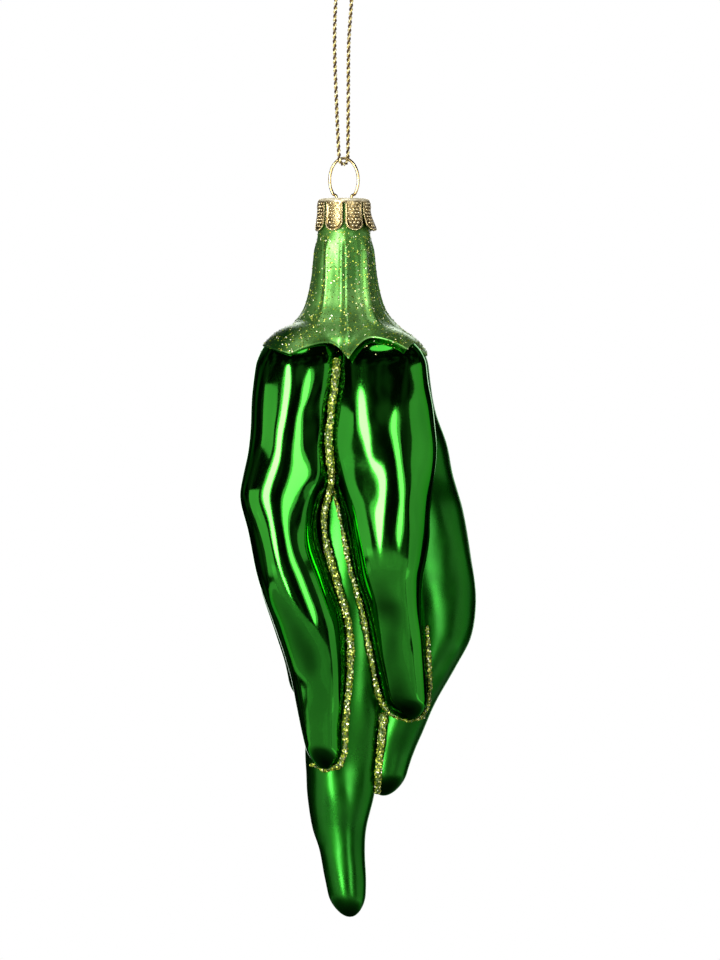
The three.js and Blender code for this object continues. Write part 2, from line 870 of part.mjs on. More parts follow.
const ornament = new THREE.Group();
ornament.position.z = -hangHeight;
ornament.add(piece("glass_body", geometryOf(glass), finish.glass));
ornament.add(piece("cap", geometryOf(cap), finish.brass));
ornament.add(piece("hanger_wire", wireGeometry(), finish.brass));
for (const name of Object.keys(glueLines)) {
  ornament.add(piece(name, geometryOf(beadSolid(name)), finish.glitter));
}
ornament.add(piece("cord_knot", knotGeometry(), finish.brass));
ornament.add(piece("hanging_cord", cordGeometry(), finish.brass));

export default ornament;
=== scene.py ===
# %% [markdown]
# # Chili ornament
# A mouth-blown glass ornament: five green peppers, their calyx and a ribbed stem in one silvered
# shell, a stamped cap with eight petals, a spring-wire ring, lines of gold glitter and a twisted
# cord. The solids of the CAD part are loaded first. They hold the places, the sizes and the
# joints. Each visible surface is then made finer than its solid, in the same place.

# %% Load the solids
import math

import bmesh
import bpy
import numpy as np
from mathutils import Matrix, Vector, noise


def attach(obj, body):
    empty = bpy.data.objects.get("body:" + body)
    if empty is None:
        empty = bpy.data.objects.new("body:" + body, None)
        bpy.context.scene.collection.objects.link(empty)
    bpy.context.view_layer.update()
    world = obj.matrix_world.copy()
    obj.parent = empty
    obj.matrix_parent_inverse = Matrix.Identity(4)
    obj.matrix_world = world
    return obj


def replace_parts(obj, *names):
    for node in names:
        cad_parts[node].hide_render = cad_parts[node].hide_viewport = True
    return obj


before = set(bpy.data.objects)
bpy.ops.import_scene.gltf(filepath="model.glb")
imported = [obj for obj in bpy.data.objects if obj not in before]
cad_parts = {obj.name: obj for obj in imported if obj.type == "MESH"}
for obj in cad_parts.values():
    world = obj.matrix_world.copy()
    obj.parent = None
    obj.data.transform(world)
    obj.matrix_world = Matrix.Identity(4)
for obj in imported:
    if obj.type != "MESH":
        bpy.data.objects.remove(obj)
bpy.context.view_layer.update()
MM = 0.001
HANG_HEIGHT = 45.0

# %% [markdown]
# ## Camera
# The ornament hangs in front of a long lens at the height of its middle, so that its outline is
# nearly free of perspective. A lens of 300 mm, 1.6 m away, sees 192 mm over the height of the
# picture.

# %% Camera
PICTURE_HEIGHT = 0.192
PICTURE_MIDDLE_X = 3.2
PICTURE_MIDDLE_Z = -101.3
LENS = 300.0
SENSOR = 36.0


def in_scene(name, data):
    """A new object in the scene around a mesh, a light or a camera."""
    made = bpy.data.objects.new(name, data)
    bpy.context.scene.collection.objects.link(made)
    return made


camera_data = bpy.data.cameras.new("camera")
camera_data.lens = LENS
camera_data.sensor_width = SENSOR
camera = in_scene("camera", camera_data)
distance = PICTURE_HEIGHT * LENS / SENSOR
camera.location = (PICTURE_MIDDLE_X * MM, -distance, PICTURE_MIDDLE_Z * MM)
camera.rotation_euler = (math.radians(90), 0, 0)
bpy.context.scene.camera = camera
print("camera distance in m:", round(distance, 2))

# %% [markdown]
# ## Helpers
# Points are written in millimetres, with a depth measured down from the top of the cap, because
# that is how the ornament was measured. The helpers turn them into metres in the shared frame,
# make mesh objects, and sweep tubes along a line of points.

# %% Points and meshes
def row(x, y, depth):
    """A point in metres from millimetres, with the depth measured down from the cap's top."""
    return Vector((x * MM, y * MM, -(depth + HANG_HEIGHT) * MM))


def mesh_object(name, points, faces):
    """A new smooth mesh object at the origin, its faces turned outwards."""
    mesh = bpy.data.meshes.new(name)
    mesh.from_pydata([tuple(p) for p in points], [], faces)
    work = bmesh.new()
    work.from_mesh(mesh)
    bmesh.ops.remove_doubles(work, verts=work.verts, dist=0.002 * MM)
    bmesh.ops.recalc_face_normals(work, faces=work.faces)
    work.to_mesh(mesh)
    work.free()
    mesh.shade_smooth()
    return in_scene(name, mesh)


def ring_faces(rings, around):
    """The quads between rings of points that are listed one after another."""
    quads = []
    for i in range(rings - 1):
        for j in range(around):
            k = (j + 1) % around
            low, high = i * around, (i + 1) * around
            quads.append((low + j, low + k, high + k, high + j))
    return quads


def closed_faces(rings, around):
    """The same quads, with a fan to a point before the rings and a fan to one after them."""
    faces = [tuple(v + 1 for v in quad) for quad in ring_faces(rings, around)]
    last = 1 + rings * around
    for j in range(around):
        k = (j + 1) % around
        faces.append((0, 1 + k, 1 + j))
        faces.append((last, last - around + j, last - around + k))
    return faces


def smoothstep(x, low, high):
    """A soft change from 0 at low to 1 at high."""
    t = min(max((x - low) / (high - low), 0), 1)
    return t * t * (3 - 2 * t)


def depth_of(vertex):
    """A vertex's depth in mm below the cap's top."""
    return -vertex.co.z / MM - HANG_HEIGHT


def direction_of(vertex):
    """The direction of a vertex round the ornament's axis, 0 in front and growing to the right."""
    return math.atan2(vertex.co.x, -vertex.co.y)


def give_values(made, name, value_of):
    """Stores a number on each vertex under a name that materials and trees can read."""
    values = made.data.attributes.new(name, "FLOAT", "POINT")
    values.data.foreach_set("value", [value_of(vertex) for vertex in made.data.vertices])


# %% Lines and tubes
STEPS_BETWEEN = 24


def smooth_line(points, count):
    """A smooth line through points, as evenly spaced points."""
    points = [Vector(p) for p in points]
    ends = [2 * points[0] - points[1], *points, 2 * points[-1] - points[-2]]
    fine = []
    for i in range(1, len(ends) - 2):
        a, b, c, d = ends[i - 1 : i + 3]
        for step in range(STEPS_BETWEEN):
            t = step / STEPS_BETWEEN
            fine.append(
                0.5 * (2 * b + (c - a) * t + (2 * a - 5 * b + 4 * c - d) * t * t
                       + (3 * b - 3 * c + d - a) * t ** 3)
            )
    fine.append(points[-1])
    lengths = np.cumsum([0.0] + [(q - p).length for p, q in zip(fine, fine[1:])])
    wanted = np.linspace(0, lengths[-1], count)
    columns = [np.interp(wanted, lengths, [p[k] for p in fine]) for k in range(3)]
    return [Vector(p) for p in zip(*columns)]


def line_length(line):
    """The length of a line in metres."""
    return sum((q - p).length for p, q in zip(line, line[1:]))


def frames_along(line):
    """Two directions across the line at each of its points, carried along without twist."""
    last = len(line) - 1
    found = []
    side = None
    for i in range(len(line)):
        forward = (line[min(i + 1, last)] - line[max(i - 1, 0)]).normalized()
        if side is None:
            side = forward.orthogonal()
        side = (side - forward * side.dot(forward)).normalized()
        found.append((side.copy(), forward.cross(side)))
    return found


def tube(line, radius, sides, centre_offset=0.0, turns=0.0, start=0.0):
    """A closed tube along a line. With an offset and turns it is one ply wound round the line."""
    rings = []
    frames = frames_along(line)
    for i, (point, (side, up)) in enumerate(zip(line, frames)):
        wind = start + 2 * math.pi * turns * i / (len(line) - 1)
        middle = point + (side * math.cos(wind) + up * math.sin(wind)) * centre_offset
        for j in range(sides):
            a = 2 * math.pi * j / sides + wind
            rings.append(middle + (side * math.cos(a) + up * math.sin(a)) * radius)
    first = sum(rings[:sides], Vector()) / sides
    last = sum(rings[-sides:], Vector()) / sides
    return [first, *rings, last], closed_faces(len(line), sides)


# %% [markdown]
# ## Materials
# A finish is built from nodes: a colour that varies a little over the piece, a roughness that
# varies with it, and a fine bump. Colours, roughness and bump read Object coordinates, which
# are metres here, so a scale of 1000 divided by a length in mm gives a pattern of that length.

# %% Material helpers
class Finish:
    """A node-based material around one Principled shader."""

    def __init__(self, name, **values):
        self.material = bpy.data.materials.new(name)
        self.material.use_nodes = True
        self.nodes = self.material.node_tree.nodes
        self.links = self.material.node_tree.links
        self.shader = self.nodes["Principled BSDF"]
        for socket, value in values.items():
            self.shader.inputs[socket.replace("_", " ")].default_value = value
        self.place = self.nodes.new("ShaderNodeTexCoord").outputs["Object"]

    def noise(self, size_mm, detail=2.0, stretch=None):
        """Noise with lumps of a size in mm, drawn out along an axis by a stretch."""
        source = self.place
        if stretch:
            mapping = self.nodes.new("ShaderNodeMapping")
            mapping.inputs["Scale"].default_value = stretch
            self.links.new(source, mapping.inputs["Vector"])
            source = mapping.outputs["Vector"]
        texture = self.nodes.new("ShaderNodeTexNoise")
        texture.inputs["Scale"].default_value = 1000.0 / size_mm
        texture.inputs["Detail"].default_value = detail
        self.links.new(source, texture.inputs["Vector"])
        return texture.outputs["Fac"]

    def cells(self, size_mm):
        """The distance to the nearest of many scattered points, for a grainy surface."""
        texture = self.nodes.new("ShaderNodeTexVoronoi")
        texture.inputs["Scale"].default_value = 1000.0 / size_mm
        self.links.new(self.place, texture.inputs["Vector"])
        return texture.outputs["Distance"]

    def attribute(self, name):
        """A value that the mesh holds under a name."""
        reader = self.nodes.new("ShaderNodeAttribute")
        reader.attribute_name = name
        return reader.outputs["Fac"]

    def ramp(self, value, *stops):
        """A colour or grey for a value, from (position, colour) stops."""
        ramp = self.nodes.new("ShaderNodeValToRGB")
        elements = ramp.color_ramp.elements
        while len(elements) < len(stops):
            elements.new(0.5)
        for element, (position, colour) in zip(elements, stops):
            element.position = position
            if isinstance(colour, (int, float)):
                colour = (colour, colour, colour)
            element.color = (*colour, 1.0)
        self.links.new(value, ramp.inputs["Fac"])
        return ramp.outputs["Color"]

    def mix(self, factor, first, second):
        """From the first colour to the second, as the factor goes from 0 to 1."""
        mixer = self.nodes.new("ShaderNodeMix")
        mixer.data_type = "RGBA"
        for socket, value in (("Factor_Float", factor), ("A_Color", first), ("B_Color", second)):
            target = next(s for s in mixer.inputs if s.identifier == socket)
            if hasattr(value, "links"):
                self.links.new(value, target)
            else:
                target.default_value = value if socket == "Factor_Float" else (*value, 1.0)
        return next(s for s in mixer.outputs if s.identifier == "Result_Color")

    def to(self, socket, value):
        """Joins a value to one of the shader's sockets."""
        self.links.new(value, self.shader.inputs[socket])

    def vary(self, socket, size_mm, *stops, detail=2.0, stretch=None):
        """Lets a socket follow noise with lumps of a size in mm, through a ramp."""
        self.to(socket, self.ramp(self.noise(size_mm, detail, stretch), *stops))

    def bump(self, height, depth_mm, strength=1.0):
        """A bump, stacked on any that the finish already has."""
        bump = self.nodes.new("ShaderNodeBump")
        bump.inputs["Strength"].default_value = strength
        bump.inputs["Distance"].default_value = depth_mm * MM
        normal = self.shader.inputs["Normal"]
        if normal.links:
            self.links.new(normal.links[0].from_socket, bump.inputs["Normal"])
        self.links.new(height, bump.inputs["Height"])
        self.links.new(bump.outputs["Normal"], normal)


# %% [markdown]
# ## Cord
# The cord is twisted from one gold and one dark brown metallic ply. It runs from the knot down
# in front of the ring's wire, under it and up behind it, and hangs from a hook that passes
# through its top. The route repeats the points of the CAD part, and each ply winds round it.

# %% Cord route
CORD_LEAD = 1.68
PLY_RADIUS = 0.225
PLY_OFFSET = 0.175
CORD_TURN = 1.2
LOOP_HALF = 1.5
RING_TOP = 8.04
STRAND_TOP = 45.7


def cord_route():
    """The cord's centreline, in millimetres above the cap's top."""
    front = [
        (-0.45, 0, STRAND_TOP), (-LOOP_HALF, -0.2, STRAND_TOP - 4.5), (-1.25 * LOOP_HALF, -0.8, 31),
        (-LOOP_HALF, -CORD_TURN, RING_TOP + 11.2), (-1.15, -CORD_TURN, RING_TOP + 3.2),
    ]
    under = []
    for i in range(9):
        a = math.pi * i / 8
        under.append((
            -0.85 * math.cos(a) - 0.1, -CORD_TURN * math.cos(a), RING_TOP - CORD_TURN * math.sin(a)
        ))
    back = [
        (0.8, CORD_TURN, RING_TOP + 3.2), (0.85, CORD_TURN, RING_TOP + 11.2), (0.95, 0.8, 31),
        (LOOP_HALF, 0.2, STRAND_TOP - 4.5), (0.45, 0, STRAND_TOP),
    ]
    return [row(x, y, -z) for x, y, z in front + under + back]


cord_line = smooth_line(cord_route(), 640)
print("cord length in mm:", round(line_length(cord_line) / MM, 1))

# %% Plies of thread
gold_ply = Finish("gold_thread", Metallic=0.6, Roughness=0.3)
gold_ply.vary(
    "Base Color", 0.35, (0.3, (0.45, 0.33, 0.06)), (0.5, (0.95, 0.8, 0.33)), (0.7, (1.0, 1.0, 0.8))
)
gold_ply.bump(gold_ply.noise(0.12, 1.0), 0.05)
brown_ply = Finish("brown_thread", Metallic=0.35, Roughness=0.5)
brown_ply.vary("Base Color", 0.4, (0.35, (0.025, 0.011, 0.003)), (0.7, (0.12, 0.065, 0.016)))
brown_ply.bump(brown_ply.noise(0.12, 1.0), 0.05)


def twisted(name, line):
    """A two-ply cord along a line, gold and brown, as one mesh."""
    turns = line_length(line) / (CORD_LEAD * MM)
    points, faces, owner = [], [], []
    for ply in range(2):
        thread, thread_faces = tube(
            line, PLY_RADIUS * MM, 8, PLY_OFFSET * MM, turns, math.pi * ply
        )
        faces += [tuple(v + len(points) for v in face) for face in thread_faces]
        owner += [ply] * len(thread_faces)
        points += thread
    made = mesh_object(name, points, faces)
    made.data.materials.append(gold_ply.material)
    made.data.materials.append(brown_ply.material)
    made.data.polygons.foreach_set("material_index", owner)
    return made


cord = twisted("twisted_cord", cord_line)
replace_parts(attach(cord, "cord"), "hanging_cord")
print("cord faces:", len(cord.data.polygons))

# %% [markdown]
# ## Knot
# Both ends of the cord are tied together in one overhand knot. A trefoil line is the shape that
# an overhand knot has when it is pulled tight, so the knot is the same cord along a trefoil,
# with the two cut ends standing up from it.

# %% Knot
def knot_line():
    """A trefoil just above the strands, in front view as wide as it is high."""
    size, thick = 0.42, 0.46
    line = []
    for i in range(150):
        t = 2 * math.pi * (i + 0.5) / 150
        x = size * (math.sin(t) + 2 * math.sin(2 * t))
        z = size * (math.cos(t) - 2 * math.cos(2 * t))
        line.append(row(x, thick * math.sin(3 * t), -(STRAND_TOP + 1.5 - z)))
    return line


knot = twisted("cord_overhand_knot", knot_line())
tails = []
for side in (-1, 1):
    tail = smooth_line(
        [row(0.35 * side, 0, -(STRAND_TOP + 1.6)), row(0.5 * side, 0.1 * side, -(STRAND_TOP + 3.2)),
         row(0.9 * side, 0.2 * side, -(STRAND_TOP + 4.9))], 40)
    tails.append(twisted(f"cord_tail_{'left' if side < 0 else 'right'}", tail))
for piece in (knot, *tails):
    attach(piece, "cord")
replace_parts(knot, "cord_knot")
print("knot in mm:", [round(side / MM, 1) for side in knot.dimensions])

# %% [markdown]
# ## Peppers
# Each pepper is a smooth skin through its own table of centres and half widths. It is nearly the
# table from which its solid was made, with a squarer shoulder and more hollows. The mirror
# lacquer shows every facet, so a skin has far more rings than its solid, and shallow ripples such
# as a glass mould leaves. The hollows and ridges decide how the long highlights bend and break
# off, so they were placed after the photo.

# %% Pepper tables in mm
# A station is a depth, the centre's x and y, half the width and half the depth of the section.
# A dent is a depth, a direction in degrees (0 in front, 90 on the right), a size that is negative
# for a hollow, half its length along the pepper, and its spread in degrees.
PEPPERS = {
    "front_left": {
        "top": 25.6, "tip": 114.1, "shoulder": 8.2, "nose": 5,
        "stations": [
            (27.3, -9.0, -5.2, 8.9, 8.0), (36.3, -9.3, -6.0, 9.0, 8.5),
            (49.1, -10.5, -6.5, 8.4, 8.5), (55.5, -11.05, -6.8, 8.75, 8.5),
            (60.3, -12.4, -7.0, 7.9, 8.4), (66.7, -12.05, -7.0, 6.95, 8.0),
            (75.3, -10.05, -6.8, 7.35, 7.7), (85.3, -6.9, -6.4, 7.1, 7.0),
            (95.3, -5.2, -6.0, 5.6, 5.6), (105.3, -4.7, -5.4, 4.2, 4.4),
            (114.1, -3.4, -4.8, 3.2, 3.4),
        ],
        "dents": [
            (29.5, 280, -0.9, 6, 45), (46, 28, -0.7, 6.5, 26), (58.5, -54, 0.9, 6.5, 29),
            (58.5, 13, -0.85, 6.5, 29), (68, 34, -0.4, 7, 22), (71, -24, 0.3, 4, 18),
            (83, -12, 0.8, 9, 42), (90, -38, -0.3, 9, 24),
        ],
    },
    "front_right": {
        "top": 26.4, "tip": 104.3, "shoulder": 7.4, "nose": 4.2,
        "stations": [
            (27.3, 6.9, -5.2, 9.3, 8.0), (36.3, 6.8, -6.0, 10.0, 8.6),
            (42.7, 6.9, -6.4, 10.9, 8.9), (49.1, 7.1, -6.6, 11.3, 8.9),
            (55.5, 7.7, -6.8, 10.3, 8.6), (62.3, 8.4, -6.8, 8.9, 8.1),
            (67.3, 8.8, -6.7, 8.4, 7.7), (72.3, 9.0, -6.6, 7.6, 7.1),
            (76.3, 9.1, -6.5, 6.7, 6.6), (81.3, 9.8, -6.4, 5.8, 6.0),
            (91.3, 11.1, -4.9, 5.1, 5.1), (99.0, 12.1, -3.6, 4.5, 4.4),
            (104.3, 12.9, -2.4, 3.6, 3.7),
        ],
        "dents": [
            (32.5, 4, -1.2, 7, 45), (56, -18, -0.6, 6.5, 25), (57.5, 26, 0.45, 7, 24),
            (72, 0, 1.1, 9, 45), (67, -42, 0.4, 6, 23), (50, 44, -0.3, 8, 20),
        ],
    },
    "back_right": {
        "top": 26.4, "tip": 119.6, "shoulder": 7.4, "nose": 4.5,
        "stations": [
            (27.3, 8.8, 4.5, 7.6, 7.5), (36.3, 9.2, 5.0, 7.8, 8.3),
            (42.7, 10.2, 5.4, 8.0, 8.8), (49.1, 12.0, 5.5, 8.6, 9.2),
            (55.5, 13.1, 5.4, 8.9, 9.5), (62.0, 14.8, 5.2, 9.2, 9.7),
            (72.3, 16.4, 5.0, 9.2, 9.7), (80.3, 17.3, 4.8, 9.1, 9.4),
            (87.5, 16.9, 4.7, 8.5, 8.8), (93.9, 14.5, 4.2, 7.6, 7.9),
            (100.3, 11.9, 3.8, 6.7, 7.2), (106.7, 10.0, 3.6, 5.8, 6.3),
            (113.1, 8.6, 3.6, 4.5, 4.8), (119.6, 7.9, 3.6, 3.1, 3.3),
        ],
        "dents": [
            (55, 30, -0.5, 7, 40), (76, 24, -1.0, 9, 34), (66, 84, -0.3, 8, 22),
            (98, 20, 0.4, 8, 30), (117, 15, 1.0, 6, 65),
        ],
    },
    "back_left": {
        "top": 26.0, "tip": 101.0, "shoulder": 7.8, "nose": 4.5,
        "stations": [
            (27.3, -8.6, 4.5, 7.6, 7.5), (36.3, -9.4, 5.2, 7.8, 8.2),
            (49.1, -10.0, 5.8, 8.2, 8.8), (60.3, -10.8, 6.0, 8.4, 8.9),
            (70.0, -10.6, 6.0, 7.9, 8.4), (76.3, -10.0, 6.0, 7.3, 7.8),
            (81.3, -9.2, 5.8, 6.6, 7.2), (87.5, -8.0, 5.5, 5.6, 6.4),
            (93.9, -7.0, 5.0, 4.7, 5.2), (101.0, -6.8, 4.4, 3.6, 3.8),
        ],
        "dents": [(56, 205, -0.6, 8, 20), (74, 230, -0.4, 9, 22)],
    },
    "centre": {
        "top": 27.3, "tip": 143.7, "shoulder": 6, "nose": 4.6,
        "stations": [
            (27.3, 0.3, 0.6, 5.6, 6.6), (36.3, 0.4, 0.6, 6.8, 7.8),
            (56.0, 0.4, 0.6, 8.0, 8.6), (66.0, 0.4, 0.9, 8.2, 8.5),
            (76.3, 0.6, 1.2, 8.4, 8.3), (86.3, 0.8, 1.4, 8.6, 8.1),
            (96.3, 0.8, 1.5, 8.3, 7.8), (104.3, 0.6, 1.4, 7.9, 7.3),
            (110.3, -0.1, 1.4, 7.6, 6.9), (114.3, -0.5, 1.5, 7.1, 6.7),
            (119.5, -0.6, 1.3, 6.7, 6.2), (126.0, -0.8, 1.0, 5.4, 5.2),
            (130.0, -0.3, 0.7, 4.6, 4.6), (135.5, 0.4, 0.4, 4.2, 4.1),
            (139.5, 0.8, 0.2, 3.7, 3.7), (143.7, 1.2, 0.0, 3.0, 3.0),
        ],
        "dents": [
            (66, -12, -0.35, 11, 20), (112, 20, -0.5, 6, 30), (126, -20, -0.4, 6, 30),
            (88, 180, -0.5, 10, 24),
        ],
    },
}
print("peppers:", len(PEPPERS))


# %% Pepper skin
def along(table, depth, column):
    """A smooth value between the stations of a table whose first column is the depth."""
    last = len(table) - 1
    i = 0
    while i < last - 1 and depth > table[i + 1][0]:
        i += 1
    before, start = table[max(i - 1, 0)], table[i]
    end, after = table[i + 1], table[min(i + 2, last)]
    span = end[0] - start[0]
    slope_start = (end[column] - before[column]) / (end[0] - before[0])
    slope_end = (after[column] - start[column]) / (after[0] - start[0])
    t = min(max((depth - start[0]) / span, 0), 1)
    return (
        (2 * t ** 3 - 3 * t ** 2 + 1) * start[column]
        + (t ** 3 - 2 * t ** 2 + t) * span * slope_start
        + (3 * t ** 2 - 2 * t ** 3) * end[column] + (t ** 3 - t ** 2) * span * slope_end
    )


def end_round(pepper, depth, offset=0.0):
    """How far the end has rounded off: 1 away from the ends, 0 at the pole."""
    down = depth - (pepper["top"] - offset)
    up = pepper["tip"] + offset - depth
    s = min(max(1 - down / (pepper["shoulder"] + offset), 0), 1)
    n = min(max(1 - up / (pepper["nose"] + offset), 0), 1)
    return math.sqrt(max(0, 1 - s * s)) * math.sqrt(max(0, 1 - n * n))


def angle_between(a, b):
    """The turn from b to a, from minus half a turn to half a turn."""
    return (a - b + math.pi) % (2 * math.pi) - math.pi


def dent_at(pepper, depth, angle):
    """How far all the hollows and ridges move the skin out at a place, in mm."""
    total = 0.0
    for at_depth, direction, size, length, spread in pepper["dents"]:
        u = (depth - at_depth) / length
        w = angle_between(angle, math.radians(direction)) / math.radians(spread)
        total += size * math.exp(-u * u - w * w)
    return total


def skin_point(pepper, depth, angle, ripple=0.0):
    """A point on a pepper. Angle 0 looks to the front and 90 degrees to the right."""
    rounding = end_round(pepper, depth)
    x0, y0, wide, deep = (along(pepper["stations"], depth, c) for c in (1, 2, 3, 4))
    swell = dent_at(pepper, depth, angle)
    if ripple:
        at = Vector((x0 + wide * math.sin(angle), y0 - deep * math.cos(angle), 0.6 * depth))
        swell += ripple * (noise.noise(at * 0.11) + 0.3 * noise.noise(at * 0.27))
    return row(
        x0 + (wide + swell) * rounding * math.sin(angle),
        y0 - (deep + swell) * rounding * math.cos(angle),
        depth,
    )


def pepper_skin(name, ripple=0.32, rings=150, around=112):
    """The whole skin of a pepper, with rings set closer together near its two ends."""
    pepper = PEPPERS[name]
    points = [skin_point(pepper, pepper["top"], 0)]
    for i in range(1, rings + 1):
        t = i / (rings + 1)
        eased = t - 0.14 * math.sin(2 * math.pi * t)
        depth = pepper["top"] + (pepper["tip"] - pepper["top"]) * eased
        points += [
            skin_point(pepper, depth, 2 * math.pi * j / around, ripple) for j in range(around)
        ]
    points.append(skin_point(pepper, pepper["tip"], 0))
    return mesh_object(f"pepper_{name}", points, closed_faces(rings, around))


peppers = {name: pepper_skin(name) for name in PEPPERS}
print("pepper faces:", sum(len(p.data.polygons) for p in peppers.values()))

# %% [markdown]
# ## Green lacquer
# The glass is silvered inside and dipped in transparent green lacquer. A metallic base gives the
# green mirror, and a thin coat gives the colourless shine of the glass on top of it. The lacquer
# is deepest where one looks along it, so the tint of the mirror's edge is green too. The two front
# peppers and the left one behind them are polished. The other two have a satin bloom, which is
# the same lacquer with a higher roughness.

# %% Gloss and satin lacquer
def lacquer(name, roughness, coat_roughness, colours, bump_mm):
    """Green lacquer over silver, between two colours and between two values of roughness."""
    finish = Finish(
        name, Metallic=1.0, Specular_Tint=(0.1, 0.4, 0.1, 1.0), Coat_Weight=0.12,
        Coat_Roughness=coat_roughness, Coat_IOR=1.5,
    )
    finish.vary(
        "Base Color", 14.0, (0.3, colours[0]), (0.7, colours[1]), detail=3.0, stretch=(1, 1, 0.5)
    )
    finish.vary("Roughness", 6.0, (0.35, roughness[0]), (0.7, roughness[1]), detail=4.0)
    finish.bump(finish.noise(1.6, 2.0), bump_mm, 0.6)
    finish.bump(finish.noise(0.25, 1.0), bump_mm * 0.1, 0.4)
    return finish


GLOSSY = ("front_left", "front_right", "back_left")
gloss = lacquer(
    "green_gloss_lacquer", (0.07, 0.12), 0.05, ((0.016, 0.2, 0.012), (0.03, 0.29, 0.02)), 0.01
)
satin = lacquer(
    "green_satin_lacquer", (0.26, 0.36), 0.2, ((0.006, 0.1, 0.005), (0.014, 0.165, 0.009)), 0.005
)
for name, pepper in peppers.items():
    finish = gloss if name in GLOSSY else satin
    pepper.data.materials.append(finish.material)
    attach(pepper, "glass")
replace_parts(peppers["centre"], "glass_body")
print("glossy peppers:", len(GLOSSY), "of", len(peppers))

# %% [markdown]
# ## Stem, calyx and neck
# Stem and calyx are part of the same glass shell. Their skin is one grid of points: each column
# is a direction round the stem, and each row goes further down, to an edge that is low at the
# ribs and arched between them. In every direction the skin lies on whatever reaches furthest
# out, the stem or a pepper's shoulder, blended so that it drapes like a real calyx. Above, the
# same grid goes up the neck pipe, over its rim and down into the bore. On the left, the calyx lies
# lower over the front pepper's shoulder, and that side of it is painted deep green: painted shade.

# %% Stem sizes in mm
# A lobe of the calyx is a direction in degrees, the depth of its point and the height of the arch
# that follows it.
NECK_RADIUS = 4.5
BORE_RADIUS = 3.7
NECK_TOP = 0.65
STEM_SHOULDER = 4.4
STEM_TABLE = [
    (0, 4.5), (4.4, 4.5), (5.3, 4.85), (6.2, 5.12), (7.4, 5.3), (14, 5.85), (17, 6.3),
    (20.3, 7.1), (22.5, 8.0), (24.5, 9.5), (26.2, 11.4), (27.8, 12.9), (29.5, 12.9),
]
CALYX_LOBES = [
    (4, 32.0, 3.4), (47, 30.2, 2.4), (98, 31.2, 3.0), (178, 31.4, 3.2), (258, 29.2, 0.9),
    (323, 31.0, 2.8),
]
RIB_ANGLES = [lobe[0] for lobe in CALYX_LOBES]
CALYX_THICK = 0.7
LOW_SHOULDER = math.radians(278)
LOW_SHOULDER_BY = 1.3
SHADED_SIDE = math.radians(285)
STEM_AROUND = 288


def rib_at(angle, width):
    """1 on a rib of the stem, falling to 0 over a width in degrees."""
    return sum(
        math.exp(-(angle_between(angle, math.radians(d)) / math.radians(width)) ** 2)
        for d in RIB_ANGLES
    )


def calyx_edge(angle):
    """The depth of the calyx's edge: low at each lobe's point, arched between two."""
    turned = (math.degrees(angle) - RIB_ANGLES[0]) % 360 + RIB_ANGLES[0]
    at = max(i for i, lobe in enumerate(CALYX_LOBES) if lobe[0] <= turned)
    left, low, arch = CALYX_LOBES[at]
    right, next_low, _ = CALYX_LOBES[(at + 1) % len(CALYX_LOBES)]
    share = (turned - left) / ((right - left) % 360)
    wave = 0.25 * noise.noise(Vector((math.sin(angle), math.cos(angle), 0)) * 3)
    return low + (next_low - low) * share - arch * math.sin(math.pi * share) ** 0.75 + wave


# %% Draped radius
def stem_radius(depth, angle):
    """The stem's radius in mm: flatter from front to back further down, with ribs and flutes."""
    squeeze = 1 - 0.22 * smoothstep(depth, 7.4, 24)
    round_radius = along(STEM_TABLE, depth, 1)
    radius = round_radius / math.hypot(math.sin(angle), math.cos(angle) / squeeze)
    ribs = 0.45 * rib_at(angle, 12) + 0.3 * rib_at(angle, 3.6) - 0.28 * rib_at(angle + 0.15, 4.5)
    flutes = 0.1 * math.sin(9 * angle + 0.5 * math.sin(2 * angle)) * smoothstep(depth, 9, 16)
    return radius + ribs * smoothstep(depth, 7.0, 11) + flutes


def pepper_reach(pepper, depth, angle):
    """How far a pepper, grown by the calyx, reaches from the stem's axis in a direction."""
    if not pepper["top"] - CALYX_THICK < depth < pepper["tip"]:
        return 0.0
    rounding = end_round(pepper, depth, CALYX_THICK)
    x0, y0 = along(pepper["stations"], depth, 1), along(pepper["stations"], depth, 2)
    wide = (along(pepper["stations"], depth, 3) + CALYX_THICK) * rounding
    deep = (along(pepper["stations"], depth, 4) + CALYX_THICK) * rounding
    if min(wide, deep) < 0.01:
        return 0.0
    dx, dy = math.sin(angle) / wide, -math.cos(angle) / deep
    px, py = x0 / wide, y0 / deep
    a, b, c = dx * dx + dy * dy, -(dx * px + dy * py), px * px + py * py - 1
    inside = b * b - a * c
    if inside <= 0:
        return 0.0
    return max((-b + math.sqrt(inside)) / a, 0.0)


def draped_radius(depth, angle):
    """The stem's or a pepper's radius, whichever is larger, with a soft change between them."""
    aside = abs(angle_between(angle, LOW_SHOULDER))
    sunk = LOW_SHOULDER_BY * (1 - smoothstep(aside, 0.3, 0.75))
    reaches = [stem_radius(depth, angle)]
    reaches += [max(pepper_reach(p, depth, angle) - sunk, 0) for p in PEPPERS.values()]
    power = 22.0
    return sum(r ** power for r in reaches) ** (1 / power)


# %% Stem and calyx grid
ANGLES = [2 * math.pi * j / STEM_AROUND for j in range(STEM_AROUND)]
EDGES = [calyx_edge(a) for a in ANGLES]


def stem_ring(depth_at, radius_at):
    """One ring of the grid, from a depth and a radius in each direction."""
    ring = []
    for angle, edge in zip(ANGLES, EDGES):
        depth, radius = depth_at(edge), radius_at
        if callable(radius):
            radius = radius(depth, angle)
        ring.append(row(radius * math.sin(angle), -radius * math.cos(angle), depth))
    return ring


stem_rings, shows = [], []


def add_ring(ring, visible):
    """Adds a ring, and whether glitter can lie on it."""
    stem_rings.append(ring)
    shows.append(visible)


